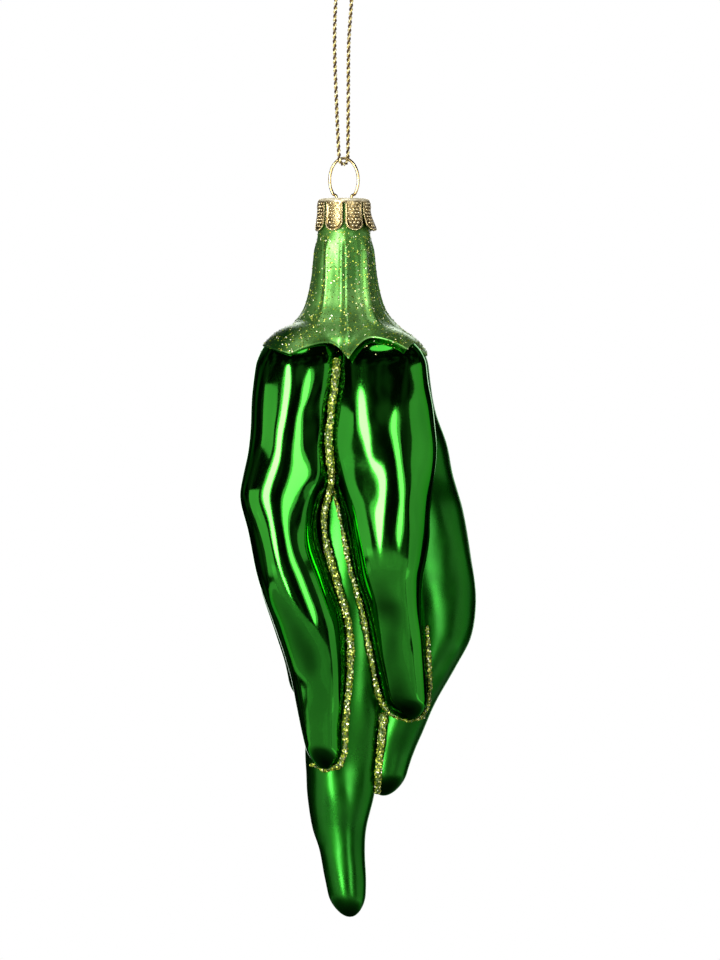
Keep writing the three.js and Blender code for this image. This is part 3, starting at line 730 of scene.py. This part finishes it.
for depth in (22, 16, 8, 3):
    add_ring(stem_ring(lambda edge: depth, BORE_RADIUS), 0)
for a in np.linspace(0, math.pi, 7):
    middle, half = (NECK_RADIUS + BORE_RADIUS) / 2, (NECK_RADIUS - BORE_RADIUS) / 2
    lift = NECK_TOP + half - half * math.sin(a)
    add_ring(stem_ring(lambda edge: lift, middle - half * math.cos(a)), 0)
for depth in (2.5, 4.1):
    add_ring(stem_ring(lambda edge: depth, along(STEM_TABLE, depth, 1)), 0)
ROWS_DOWN = 96
for i in range(ROWS_DOWN + 1):
    t = i / ROWS_DOWN
    add_ring(stem_ring(lambda edge: STEM_SHOULDER + (edge - STEM_SHOULDER) * t, draped_radius), 1)
print("rings of the stem:", len(stem_rings))

# %% Calyx rim
# The grid is blurred a little, so that the calyx flows from the stem over the shoulders. A step
# of the rim goes down and out from the calyx's edge, in mm, and shows or is hidden.
RIM_STEPS = ((0.12, 0.16, 1), (0.32, 0.17, 1), (0.45, 0.02, 1), (0.42, -0.4, 0), (0.1, -1.3, 0))
BLUR_PASSES = 6
BLUR_FROM = 24
stem_grid = np.array(stem_rings)
for _ in range(BLUR_PASSES):
    blurred = (np.roll(stem_grid, 1, 1) + 2 * stem_grid + np.roll(stem_grid, -1, 1)) / 4
    blurred[1:-1] = (blurred[:-2] + 2 * blurred[1:-1] + blurred[2:]) / 4
    stem_grid[BLUR_FROM:-2] = blurred[BLUR_FROM:-2]
stem_rings = list(stem_grid)
edge_ring = stem_grid[-1]
outwards = edge_ring[:, :2] / np.linalg.norm(edge_ring[:, :2], axis=1)[:, None]
for down, out, seen in RIM_STEPS:
    moved = edge_ring.copy()
    moved[:, :2] += outwards * out * MM
    moved[:, 2] -= down * MM
    add_ring(moved, seen)
stem_points = [row(0, 0, 22)]
for ring in stem_rings:
    stem_points += [Vector(p) for p in ring]
stem_points.append(row(0, 0, 26.5))
stem_calyx = mesh_object("stem_and_calyx", stem_points, closed_faces(len(stem_rings), STEM_AROUND))
seen_points = [0.0] + [float(s) for s in shows for _ in range(STEM_AROUND)] + [0.0]
print("stem faces:", len(stem_calyx.data.polygons))


def sprinkled(vertex):
    """How densely glitter lies: most on the ribs, none on what the cap or the peppers hide."""
    return seen_points[vertex.index] * (0.6 + 0.9 * min(rib_at(direction_of(vertex), 9), 1))


def left_shade_share(vertex):
    """How far the calyx's left side is darkened by painted shade."""
    side = 1 - smoothstep(abs(angle_between(direction_of(vertex), SHADED_SIDE)), 0.45, 0.75)
    return side * smoothstep(depth_of(vertex), 23.5, 27)


give_values(stem_calyx, "sprinkle", sprinkled)
give_values(stem_calyx, "calyx", lambda vertex: smoothstep(depth_of(vertex), 15, 24))
give_values(stem_calyx, "painted_left_shade", left_shade_share)

# %% Pale satin lacquer of the stem
stem_finish = Finish(
    "stem_satin_lacquer", Metallic=0.9, Coat_Weight=0.5, Coat_Roughness=0.3, Coat_IOR=1.5
)
upper_tone = stem_finish.ramp(
    stem_finish.noise(7.0, 4.0, (1, 1, 0.4)), (0.3, (0.04, 0.18, 0.016)), (0.7, (0.16, 0.42, 0.075))
)
lower_tone = stem_finish.ramp(
    stem_finish.noise(6.0, 4.0), (0.3, (0.08, 0.3, 0.04)), (0.7, (0.29, 0.6, 0.16))
)
both_tones = stem_finish.mix(stem_finish.attribute("calyx"), upper_tone, lower_tone)
# Painted shade: the calyx's left side is mixed towards deep green.
stem_finish.to("Base Color", stem_finish.mix(
    stem_finish.attribute("painted_left_shade"), both_tones, (0.012, 0.11, 0.008)
))
stem_finish.vary("Roughness", 2.0, (0.3, 0.38), (0.7, 0.52), detail=4.0)
stem_finish.bump(stem_finish.noise(0.7, 3.0), 0.03, 0.5)
stem_calyx.data.materials.append(stem_finish.material)
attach(stem_calyx, "glass")

# %% [markdown]
# ## Cap
# The cap is stamped from thin pale gold sheet: a flat top with two holes for the wire, and a
# skirt of eight round-ended petals with a raised border and rows of small pebbles. The sheet of
# one petal is a grid in mm across and down. Its eight copies are rolled round the neck and
# joined to the top, and get the sheet's thickness from Solidify. Fingers have bent the petals, so
# each flares by its own measure.

# %% Cap sheet
CAP_RADIUS = 5.25
CAP_SHEET = 0.3
CAP_CORNER = 0.7
CAP_HEIGHT = 6.5
PETALS = 8
PETAL_HALF = 1.8
PETAL_FLARES = [0.6, 1.5, 0.5, 0.7, 0.5, 0.6, 0.4, 0.5]
PITCH = 2 * math.pi * CAP_RADIUS / PETALS
SLIT_TOP = 0.95
ROUND_FROM = CAP_HEIGHT - PETAL_HALF


def petal_turn(petal):
    """The direction of a petal's middle."""
    return 2 * math.pi * (petal + 0.5) / PETALS


def petal_half_width(depth):
    """Half the width of the sheet between two slits at a depth."""
    if depth > ROUND_FROM:
        return math.sqrt(max(PETAL_HALF ** 2 - (depth - ROUND_FROM) ** 2, 0))
    return PITCH / 2 + (PETAL_HALF - PITCH / 2) * smoothstep(depth, SLIT_TOP - 0.25, SLIT_TOP + 0.15)


def from_border(x, depth):
    """The distance in mm from a petal's border."""
    if depth > ROUND_FROM:
        return PETAL_HALF - math.hypot(x, depth - ROUND_FROM)
    return PETAL_HALF - abs(x)


def on_cap(x, depth, petal, out=0.0):
    """A point of the rolled sheet: x mm round from a petal's middle and a depth down."""
    turn = petal_turn(petal)
    flare = PETAL_FLARES[petal] * max((depth - 0.4 * CAP_HEIGHT) / (0.6 * CAP_HEIGHT), 0) ** 1.4
    radius = CAP_RADIUS + flare + out
    angle = turn + x / CAP_RADIUS
    return row(radius * math.sin(angle), -radius * math.cos(angle), depth)


def petal_relief(x, depth):
    """The stamped border, in mm outwards."""
    edge = from_border(x, depth)
    fade = smoothstep(depth, SLIT_TOP - 0.2, SLIT_TOP + 0.5)
    return fade * 0.13 * math.exp(-((edge - 0.3) / 0.14) ** 2)


def cap_sheet(across=40, down=60):
    """The sheet's outer face: a grid for each petal, then rings from the rolled edge inwards."""
    points, faces = [], []
    for petal in range(PETALS):
        first = len(points)
        for i in range(down + 1):
            depth = CAP_CORNER + (CAP_HEIGHT - CAP_CORNER) * math.sin(0.5 * math.pi * i / down)
            half = petal_half_width(depth)
            for j in range(across + 1):
                x = half * (2 * j / across - 1)
                points.append(on_cap(x, depth, petal, petal_relief(x, depth)))
        for i in range(down):
            for j in range(across):
                a = first + i * (across + 1) + j
                faces.append((a, a + 1, a + across + 2, a + across + 1))
    around = PETALS * across
    profile = []
    flat = CAP_RADIUS - CAP_CORNER
    for a in np.linspace(0, 0.5 * math.pi, 7)[1:]:
        profile.append((CAP_RADIUS - CAP_CORNER * (1 - math.cos(a)), CAP_CORNER * (1 - math.sin(a))))
    for inwards, depth in ((0.35, 0.06), (0.7, 0.1), (1.1, 0.03), (1.8, 0.02)):
        profile.append((flat - inwards, depth))
    profile.append((0.4, 0.0))
    start = len(points)
    rings = [(CAP_RADIUS, CAP_CORNER), *profile]
    for radius, depth in rings:
        for j in range(around):
            angle = 2 * math.pi * j / around
            points.append(row(radius * math.sin(angle), -radius * math.cos(angle), depth))
    faces += [tuple(v + start for v in quad) for quad in ring_faces(len(rings), around)]
    faces.append(tuple(start + (len(rings) - 1) * around + j for j in range(around)))
    return points, faces


stamped_cap = mesh_object("stamped_cap", *cap_sheet())
skirt_face = stamped_cap.data.polygons[0]
if skirt_face.normal.dot(skirt_face.center - row(0, 0, 0)) < 0:
    stamped_cap.data.flip_normals()
print("cap faces:", len(stamped_cap.data.polygons))


# %% Cap thickness and wire holes
def apply_modifiers(made):
    """Bakes an object's modifiers into its mesh."""
    graph = bpy.context.evaluated_depsgraph_get()
    baked = bpy.data.meshes.new_from_object(made.evaluated_get(graph))
    made.modifiers.clear()
    made.data = baked


WIRE_HOLE_X = 1.492
WIRE_HOLE_RADIUS = 0.62
thickness = stamped_cap.modifiers.new("sheet", "SOLIDIFY")
thickness.thickness = CAP_SHEET * MM
thickness.offset = -1
apply_modifiers(stamped_cap)
for side in (-1, 1):
    punch_line = [row(side * WIRE_HOLE_X, 0, -1), row(side * WIRE_HOLE_X, 0, 1.5)]
    punch = mesh_object("wire_hole_punch", *tube(punch_line, WIRE_HOLE_RADIUS * MM, 24))
    cut = stamped_cap.modifiers.new("wire_hole", "BOOLEAN")
    cut.object = punch
    cut.solver = "EXACT"
    apply_modifiers(stamped_cap)
    bpy.data.objects.remove(punch)
stamped_cap.data.shade_smooth()
print("cap in mm:", [round(side / MM, 1) for side in stamped_cap.dimensions])

# %% [markdown]
# ## Pebbles on the cap
# The pebbles and the beads of the border are the same small dome, repeated hundreds of times, so
# Geometry Nodes puts one on each of a set of points. The points are laid out here in rows on the
# petals, and each carries the direction that points out of the sheet. The sheet is dark gold in
# the hollows and the pebbles are rubbed pale. Along the edge of its top the sheet is painted pale
# and less metallic, a painted highlight.

# %% Helpers for trees
def new_tree(name, *inputs):
    """A modifier tree with a geometry input, named inputs and a geometry output."""
    tree = bpy.data.node_groups.new(name, "GeometryNodeTree")
    tree.is_modifier = True
    tree.interface.new_socket(name="Geometry", in_out="INPUT", socket_type="NodeSocketGeometry")
    for label, kind in inputs:
        tree.interface.new_socket(name=label, in_out="INPUT", socket_type=kind)
    tree.interface.new_socket(name="Geometry", in_out="OUTPUT", socket_type="NodeSocketGeometry")
    return tree


def feed(tree, socket, value):
    """Gives a socket a plain value, one of a node's outputs, or the first output of a node."""
    if isinstance(value, bpy.types.Node):
        value = next(s for s in value.outputs if s.enabled)
    if isinstance(value, bpy.types.NodeSocket):
        tree.links.new(value, socket)
    else:
        socket.default_value = value


def add(tree, kind, settings=None, **inputs):
    """A node with its settings and its named inputs."""
    made = tree.nodes.new(kind)
    for key, value in (settings or {}).items():
        setattr(made, key, value)
    for label, value in inputs.items():
        name = label.replace("_", " ")
        feed(tree, next(s for s in made.inputs if s.name == name and s.enabled), value)
    return made


def times(tree, first, second):
    """A node that multiplies two values."""
    made = add(tree, "ShaderNodeMath", {"operation": "MULTIPLY"})
    feed(tree, made.inputs[0], first)
    feed(tree, made.inputs[1], second)
    return made


def end_tree(tree, geometry, material):
    """Gives a geometry its material and puts it out of the tree."""
    finish = add(tree, "GeometryNodeSetMaterial", Geometry=geometry, Material=material)
    add(tree, "NodeGroupOutput", Geometry=finish)
    return tree


def grow(source, tree, name, **sizes):
    """Runs a tree on a source and returns the result as a plain mesh object of its own."""
    modifier = source.modifiers.new(name, "NODES")
    modifier.node_group = tree
    for item in tree.interface.items_tree:
        if item.in_out == "INPUT" and item.name in sizes:
            modifier[item.identifier] = sizes[item.name]
    graph = bpy.context.evaluated_depsgraph_get()
    mesh = bpy.data.meshes.new_from_object(source.evaluated_get(graph))
    source.modifiers.remove(modifier)
    return in_scene(name, mesh)


# %% A tree that puts a dome on each point
def dome_tree():
    """A flattened ball on each point, turned to the point's own direction."""
    tree = new_tree(
        "dome_on_each_point", ("Radius", "NodeSocketFloat"), ("Material", "NodeSocketMaterial")
    )
    given = tree.nodes.new("NodeGroupInput").outputs
    dome = add(tree, "GeometryNodeMeshUVSphere", Segments=8, Rings=5, Radius=given["Radius"])
    flat = add(tree, "GeometryNodeTransform", Geometry=dome, Scale=(1.0, 1.0, 0.85))
    out = add(tree, "GeometryNodeInputNamedAttribute", {"data_type": "FLOAT_VECTOR"}, Name="out")
    turn = add(tree, "FunctionNodeAlignRotationToVector", {"axis": "Z"}, Vector=out)
    size = add(tree, "FunctionNodeRandomValue", {"data_type": "FLOAT"}, Min=0.8, Max=1.1, Seed=3)
    put = add(
        tree, "GeometryNodeInstanceOnPoints", Points=given["Geometry"], Instance=flat,
        Rotation=turn, Scale=size,
    )
    real = add(tree, "GeometryNodeRealizeInstances", Geometry=put)
    smooth = add(tree, "GeometryNodeSetShadeSmooth", Geometry=real)
    return end_tree(tree, smooth, given["Material"])


def point_cloud(name, places, directions):
    """Loose points, each with the direction in which it points."""
    mesh = bpy.data.meshes.new(name)
    mesh.from_pydata([tuple(p) for p in places], [], [])
    out = mesh.attributes.new("out", "FLOAT_VECTOR", "POINT")
    out.data.foreach_set("vector", [c for d in directions for c in d])
    return in_scene(name, mesh)


# %% Cap metal, with a painted highlight along the edge of its top
# Painted highlight: the edge of the cap's top is made paler and less metallic below.
give_values(stamped_cap, "painted_top_highlight", lambda vertex: 1 - smoothstep(depth_of(vertex), 0.35, 0.85))
cap_metal = Finish("pale_gold_cap")
sheet_tone = cap_metal.ramp(
    cap_metal.noise(1.2, 4.0), (0.3, (0.17, 0.12, 0.04)), (0.6, (0.4, 0.31, 0.14))
)
top_highlight_tone = cap_metal.ramp(
    cap_metal.noise(0.8, 3.0), (0.3, (0.6, 0.5, 0.28)), (0.6, (0.9, 0.84, 0.62))
)
cap_metal.to("Base Color", cap_metal.mix(cap_metal.attribute("painted_top_highlight"), sheet_tone, top_highlight_tone))
cap_metal.to("Metallic", cap_metal.ramp(cap_metal.attribute("painted_top_highlight"), (0.0, 1.0), (1.0, 0.45)))
cap_metal.vary("Roughness", 0.8, (0.3, 0.22), (0.7, 0.4), detail=3.0)
cap_metal.bump(cap_metal.noise(0.3, 2.0), 0.02, 0.5)
stamped_cap.data.materials.append(cap_metal.material)
pebble_metal = Finish("pale_gold_pebbles", Metallic=0.9, Roughness=0.25)
pebble_metal.vary(
    "Base Color", 0.9, (0.3, (0.42, 0.33, 0.15)), (0.6, (0.72, 0.61, 0.36)), detail=3.0
)


# %% Pebble rows and border beads
def on_petals(spots):
    """Places and outward directions on all petals, for spots in mm on one petal."""
    places, directions = [], []
    for petal in range(PETALS):
        for x, depth in spots:
            angle = petal_turn(petal) + x / CAP_RADIUS
            places.append(on_cap(x, depth, petal, petal_relief(x, depth)))
            directions.append((math.sin(angle), -math.cos(angle), 0.0))
    return places, directions


def pebble_spots(step=0.74):
    """Staggered rows inside a petal's border."""
    spots = []
    for i in range(14):
        depth = SLIT_TOP + 0.1 + i * step * 0.87
        for j in range(-3, 4):
            x = (j + (0.5 if i % 2 else 0)) * step
            if from_border(x, depth) > 0.55 and depth < CAP_HEIGHT:
                spots.append((x, depth))
    return spots


def border_spots(step=0.24, inset=0.1):
    """One bead after another along a petal's border."""
    radius = PETAL_HALF - inset
    depths = np.arange(SLIT_TOP + 0.1, ROUND_FROM, step)
    sides = [(side * radius, depth) for side in (-1, 1) for depth in depths]
    bottom = [
        (radius * math.cos(a), ROUND_FROM + radius * math.sin(a))
        for a in np.linspace(0, math.pi, int(math.pi * radius / step) + 1)
    ]
    return sides + bottom


domes = dome_tree()
DOME_RADII = {"pebbles": 0.31, "border_beads": 0.155}
for label, spots in (("pebbles", pebble_spots()), ("border_beads", border_spots())):
    places, directions = on_petals(spots)
    cloud = point_cloud(f"{label}_points", places, directions)
    grown = grow(
        cloud, domes, f"cap_{label}", Radius=DOME_RADII[label] * MM, Material=pebble_metal.material
    )
    bpy.data.objects.remove(cloud)
    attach(grown, "cap")
    print(label, len(places), "faces:", len(grown.data.polygons))
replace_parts(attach(stamped_cap, "cap"), "cap")

# %% [markdown]
# ## Hanger wire
# One springy brass wire: up one spread leg inside the neck, through a hole in the cap, round the
# ring and down the other leg. It is a tube along the CAD part's own line, finely divided.

# %% Ring and legs
RING_HALF = (2.85, 4.34)
RING_CENTRE = 3.7
LEG_X = 3.05
LEG_LENGTH = 16.0
WIRE_RADIUS = 0.3


def wire_route():
    """The wire's centreline, from the lower end of one leg to that of the other."""
    enter = math.asin(WIRE_HOLE_X / RING_HALF[0])
    leg = [
        (LEG_X, LEG_LENGTH), (LEG_X * 0.9, LEG_LENGTH * 0.68),
        ((WIRE_HOLE_X + LEG_X) / 2, LEG_LENGTH * 0.32),
    ]
    ring = []
    for i in range(17):
        a = enter + 2 * (math.pi - enter) * i / 16
        ring.append((-RING_HALF[0] * math.sin(a), -(RING_CENTRE - RING_HALF[1] * math.cos(a))))
    line = [(-x, d) for x, d in leg] + ring + leg[::-1]
    return [row(x, 0, depth) for x, depth in line]


wire_line = smooth_line(wire_route(), 260)
wire = mesh_object("hanger_wire_ring", *tube(wire_line, WIRE_RADIUS * MM, 14))
wire_metal = Finish("bright_brass_wire", Metallic=1.0)
wire_metal.vary(
    "Base Color", 1.5, (0.3, (0.36, 0.23, 0.07)), (0.6, (0.68, 0.53, 0.26)), detail=3.0
)
wire_metal.vary("Roughness", 0.6, (0.3, 0.14), (0.7, 0.3), detail=3.0)
wire_metal.bump(wire_metal.noise(0.2, 2.0), 0.008, 0.5)
wire.data.materials.append(wire_metal.material)
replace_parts(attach(wire, "ring"), "hanger_wire")
print("wire faces:", len(wire.data.polygons))

# %% [markdown]
# ## Glitter lines
# A line of clear glue is drawn into each crease between two peppers, and gold glitter is
# scattered on it while it is wet. The glue is a smoothed copy of the CAD bead. The flakes are a
# few faces each and are scattered over it by Geometry Nodes, tilted at random, because the tilt
# makes some of them flash while their neighbours stay dark. Each flake also gets a random colour
# from nearly black to gold, and the palest few are near white: painted glints. The same tree
# sprinkles the stem and the calyx, and leaves a little dust on the shoulders below them. Each
# surface holds the share of flakes that lies on it under the name sprinkle.

# %% A tree that scatters flakes
def flake_tree():
    """Small tilted five-sided flakes, as dense as the surface's sprinkle says."""
    tree = new_tree(
        "scattered_flakes", ("Density", "NodeSocketFloat"), ("Size", "NodeSocketFloat"),
        ("Tilt", "NodeSocketFloat"), ("Seed", "NodeSocketInt"), ("Material", "NodeSocketMaterial"),
    )
    given = tree.nodes.new("NodeGroupInput").outputs
    where = add(tree, "GeometryNodeInputNamedAttribute", {"data_type": "FLOAT"}, Name="sprinkle")
    spread = add(
        tree, "GeometryNodeDistributePointsOnFaces", Mesh=given["Geometry"],
        Density=times(tree, given["Density"], where), Seed=given["Seed"],
    )
    down = times(tree, given["Tilt"], -1.0)
    low = add(tree, "ShaderNodeCombineXYZ", X=down, Y=down, Z=0.0)
    high = add(tree, "ShaderNodeCombineXYZ", X=given["Tilt"], Y=given["Tilt"], Z=6.28)
    tilt = add(
        tree, "FunctionNodeRandomValue", {"data_type": "FLOAT_VECTOR"}, Min=low, Max=high,
        Seed=given["Seed"],
    )
    turned = add(
        tree, "FunctionNodeRotateRotation", {"rotation_space": "LOCAL"},
        Rotation=spread.outputs["Rotation"],
        Rotate_By=add(tree, "FunctionNodeEulerToRotation", Euler=tilt),
    )
    flake = add(
        tree, "GeometryNodeMeshCone", Vertices=5, Radius_Top=0.0, Radius_Bottom=1.0, Depth=0.35,
    )
    scale = add(tree, "FunctionNodeRandomValue", {"data_type": "FLOAT"}, Min=0.65, Max=1.25, Seed=7)
    put = add(
        tree, "GeometryNodeInstanceOnPoints", Points=spread.outputs["Points"], Instance=flake,
        Rotation=turned, Scale=times(tree, scale, given["Size"]),
    )
    shade = add(tree, "FunctionNodeRandomValue", {"data_type": "FLOAT"}, Min=0.0, Max=1.0, Seed=11)
    stored = add(
        tree, "GeometryNodeStoreNamedAttribute", {"data_type": "FLOAT", "domain": "INSTANCE"},
        Geometry=put, Name="shade", Value=shade,
    )
    real = add(tree, "GeometryNodeRealizeInstances", Geometry=stored)
    return end_tree(tree, real, given["Material"])


# %% Glitter finishes
flake_metal = Finish("gold_glitter_flakes", Metallic=0.45, Roughness=0.25)
# The ramp runs from nearly black through gold to near white; the near-white stops are painted
# glints.
flake_metal.to("Base Color", flake_metal.ramp(
    flake_metal.attribute("shade"),
    (0.0, (0.01, 0.028, 0.001)), (0.42, (0.085, 0.135, 0.005)), (0.68, (0.39, 0.48, 0.022)),
    (0.86, (0.92, 0.96, 0.18)), (0.965, (1.0, 1.0, 0.7)),
))
glue_finish = Finish("gold_glitter_glue", Metallic=0.2, Coat_Weight=0.6, Coat_Roughness=0.2)
glue_finish.to("Base Color", glue_finish.ramp(
    glue_finish.cells(0.3), (0.1, (0.18, 0.22, 0.012)), (0.6, (0.02, 0.06, 0.002))
))
glue_finish.vary("Roughness", 0.5, (0.3, 0.35), (0.7, 0.6))
glue_finish.bump(glue_finish.cells(0.28), 0.06, 0.8)


# %% Glue beads with their flakes
BEAD_SHRINK, BEAD_LUMPS, BEAD_GRAINS = -0.1, 0.3, 0.12
LUMPS_PER_METRE, GRAINS_PER_METRE = 230, 900


def glue_bead(node):
    """A smoothed, slightly lumpy copy of a CAD bead."""
    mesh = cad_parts[node].data.copy()
    mesh.materials.clear()
    work = bmesh.new()
    work.from_mesh(mesh)
    bmesh.ops.remove_doubles(work, verts=work.verts, dist=0.01 * MM)
    work.to_mesh(mesh)
    work.free()
    bead = in_scene(f"{node}_glue", mesh)
    remesh = bead.modifiers.new("even", "REMESH")
    remesh.mode = "VOXEL"
    remesh.voxel_size = 0.16 * MM
    soften = bead.modifiers.new("soften", "SMOOTH")
    soften.iterations = 6
    apply_modifiers(bead)
    count = len(bead.data.vertices)
    places, normals = np.zeros(3 * count), np.zeros(3 * count)
    bead.data.vertices.foreach_get("co", places)
    bead.data.vertices.foreach_get("normal", normals)
    places, normals = places.reshape(-1, 3), normals.reshape(-1, 3)
    swell = [
        BEAD_SHRINK + BEAD_LUMPS * noise.noise(Vector(p) * LUMPS_PER_METRE)
        + BEAD_GRAINS * noise.noise(Vector(p) * GRAINS_PER_METRE)
        for p in places
    ]
    places += normals * np.array(swell)[:, None] * MM
    bead.data.vertices.foreach_set("co", places.ravel())
    bead.data.update()
    bead.data.shade_smooth()
    give_values(bead, "sprinkle", lambda vertex: 1.0)
    bead.data.materials.append(glue_finish.material)
    return bead


flakes = flake_tree()
GLITTER = ["front_left", "front_right", "lower", "back_left", "back_right"]
for seed, name in enumerate(GLITTER):
    bead = glue_bead(f"glitter_{name}")
    grown = grow(
        bead, flakes, f"flakes_{name}", Density=1.1e7, Size=0.24 * MM, Tilt=0.8, Seed=seed,
        Material=flake_metal.material,
    )
    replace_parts(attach(bead, "glass"), f"glitter_{name}")
    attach(grown, "glass")
    print(name, "glue faces:", len(bead.data.polygons), "flake faces:", len(grown.data.polygons))

# %% Sprinkle on the stem and calyx
dusting = grow(
    stem_calyx, flakes, "flakes_stem", Density=2.2e6, Size=0.17 * MM, Tilt=0.6, Seed=31,
    Material=flake_metal.material,
)
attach(dusting, "glass")
print("sprinkle faces:", len(dusting.data.polygons))

# %% Dust of glitter on the shoulders beside the calyx
for seed, (name, pepper) in enumerate(peppers.items()):
    if name != "centre":
        give_values(pepper, "sprinkle", lambda v: 0.5 * (1 - smoothstep(depth_of(v), 27.5, 31.5)))
        settled = grow(
            pepper, flakes, f"dust_{name}", Density=1.6e6, Size=0.15 * MM, Tilt=0.6, Seed=40 + seed,
            Material=flake_metal.material,
        )
        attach(settled, "glass")
        print(name, "dust faces:", len(settled.data.polygons))

# %% [markdown]
# ## Studio
# A pale floor, a white surround and soft lights. A mirror finish shows the room, so the room
# matters as much as the lamps. Two tall strips draw the long highlights, each with a weaker and
# wider light behind it for the glow at its side. Dark walls, which only reflections see, keep the
# green deep; they glow faintly in patches of their own. Below the ornament those walls end at
# the glowing edge of a table, and the table's top glows too, fading to black towards its middle,
# so that the tips of the peppers end dark and soft.

# %% White surround and floor
world = bpy.data.worlds.new("white_surround")
world.use_nodes = True
bpy.context.scene.world = world
bpy.context.scene.view_settings.view_transform = "Standard"
surround = world.node_tree


def seen_by_eye(tree, unseen, looked_at):
    """One level for rays that light the object, another for what the eye and mirrors see."""
    path = tree.nodes.new("ShaderNodeLightPath")
    seen = path.outputs["Is Camera Ray"]
    for other in ("Is Glossy Ray", "Is Transmission Ray"):
        either = tree.nodes.new("ShaderNodeMath")
        either.operation = "MAXIMUM"
        tree.links.new(seen, either.inputs[0])
        tree.links.new(path.outputs[other], either.inputs[1])
        seen = either.outputs[0]
    level = tree.nodes.new("ShaderNodeMapRange")
    level.inputs["To Min"].default_value = unseen
    level.inputs["To Max"].default_value = looked_at
    tree.links.new(seen, level.inputs["Value"])
    return level.outputs["Result"]


background = surround.nodes["Background"]
background.inputs["Color"].default_value = (1, 1, 1, 1)
surround.links.new(seen_by_eye(surround, 0.45, 1.0), background.inputs["Strength"])

floor_finish = Finish("pale_floor", Roughness=0.9)
floor_finish.vary("Base Color", 400.0, (0.3, 0.86), (0.7, 0.9))
floor_finish.vary("Emission Color", 400.0, (0.3, 0.96), (0.7, 1.0))
floor_finish.to("Emission Strength", seen_by_eye(floor_finish.material.node_tree, 0.0, 0.42))
FLOOR_RADIUS = 2.5
FLOOR_HEIGHT = -0.6
FLOOR_SIDES = 64
floor_points = [
    (FLOOR_RADIUS * math.cos(a), FLOOR_RADIUS * math.sin(a), FLOOR_HEIGHT)
    for a in np.linspace(0, 2 * math.pi, FLOOR_SIDES + 1)[:-1]
]
floor = mesh_object("pale_floor", floor_points, [tuple(range(FLOOR_SIDES))])
floor.data.materials.append(floor_finish.material)


# %% Soft lights
MIDDLE = Vector((0, 0, -0.105))


def toward(azimuth, elevation, reach):
    """A place seen from the ornament. Azimuth 0 is the camera's side and 90 is to the right."""
    a, e = math.radians(azimuth), math.radians(elevation)
    ahead = Vector((math.sin(a) * math.cos(e), -math.cos(a) * math.cos(e), math.sin(e)))
    return MIDDLE + reach * ahead


def soft_light(name, azimuth, elevation, wide, tall, brightness, reach=0.9, shape="RECTANGLE"):
    """An area light that faces the ornament, with the brightness that a mirror would show."""
    data = bpy.data.lights.new(name, "AREA")
    data.shape = shape
    data.size, data.size_y = wide, tall
    data.energy = brightness * math.pi * wide * tall
    light = in_scene(name, data)
    light.location = toward(azimuth, elevation, reach)
    light.visible_camera = False
    light.rotation_euler = (MIDDLE - light.location).to_track_quat("-Z", "Y").to_euler()


soft_light("strip_left", -26, 6, 0.25, 0.7, 18.0, shape="ELLIPSE")
soft_light("strip_left_glow", -27, 6, 0.44, 0.78, 1.5, 0.95, "ELLIPSE")
soft_light("strip_right", 31, 1.5, 0.23, 0.44, 4.6, shape="ELLIPSE")
soft_light("strip_right_glow", 32, 1.5, 0.46, 0.5, 1.3, 0.95, "ELLIPSE")
soft_light("soft_left", -68, -4, 0.7, 0.5, 1.2)
soft_light("soft_right", 92, -8, 0.85, 0.9, 0.8)
soft_light("soft_above", 10, 66, 0.42, 0.26, 2.4, shape="ELLIPSE")
soft_light("soft_back", 176, 8, 0.6, 0.7, 2.0)
print("lights:", len(bpy.data.lights))


# %% Dark walls and a table that only reflections see
WALL_COLUMNS = 48
PLATE_SIDES = 32


def curved_wall(name, start, end, low, high, reach):
    """A wall round the ornament that only reflections see."""
    points = []
    for a in np.linspace(start, end, WALL_COLUMNS):
        side = toward(a, 0, reach)
        points += [side + Vector((0, 0, low)), side + Vector((0, 0, high))]
    faces = [(2 * i, 2 * i + 2, 2 * i + 3, 2 * i + 1) for i in range(WALL_COLUMNS - 1)]
    return mesh_object(name, points, faces)


def round_plate(name, height, reach):
    """A level disc above or below the ornament that only reflections see."""
    turns = np.linspace(0, 360, PLATE_SIDES + 1)[:-1]
    points = [toward(a, 0, reach) + Vector((0, 0, height)) for a in turns]
    return mesh_object(name, points, [tuple(range(PLATE_SIDES))])


TABLE_LIGHT = 0.56
BLACK = (0.3, 0.004), (0.7, 0.012)


def matt(name, size_mm, stops, light=0.0):
    """A matt finish between two greys, with an own light of a strength."""
    finish = Finish(name, Roughness=1.0, Specular_IOR_Level=0.0, Emission_Strength=light)
    finish.vary("Base Color", size_mm, *stops)
    return finish


black_cloth = matt("black_flag_cloth", 30.0, BLACK)
dim_room = matt("dim_room_wall", 30.0, BLACK, 0.13)
dim_room.vary("Emission Color", 420.0, (0.46, 0.0), (0.74, 1.0), detail=1.0)
# The table's edge and top glow with their own light, which only reflections see.
table_glow = matt("pale_table_edge", 300.0, ((0.3, 0.2), (0.7, 0.3)), TABLE_LIGHT)
table_glow.vary("Emission Color", 300.0, (0.3, 0.6), (0.7, 1.0))
table_fade = matt("table_top_fading_to_black", 300.0, BLACK, TABLE_LIGHT)
out_from_middle = table_fade.nodes.new("ShaderNodeVectorMath")
out_from_middle.operation = "LENGTH"
table_fade.links.new(table_fade.place, out_from_middle.inputs[0])
table_fade.to("Emission Color", table_fade.ramp(
    out_from_middle.outputs["Value"], (0.55, 0.0), (0.75, 0.12), (0.9, 0.55), (1.0, 0.9)
))
for wall, finish in (
    (curved_wall("flag_wall", -170, 166, -1.2, 1.2, 1.25), dim_room),
    (curved_wall("table_edge", -66, 64, -0.55, -0.29, 1.05), table_glow),
    (round_plate("flag_above", 1.15, 1.3), black_cloth),
    (round_plate("table_top", -0.44, 0.95), table_fade),
):
    wall.data.materials.append(finish.material)
    wall.visible_camera = False
    wall.visible_diffuse = False
    wall.visible_shadow = False
    wall.visible_transmission = False
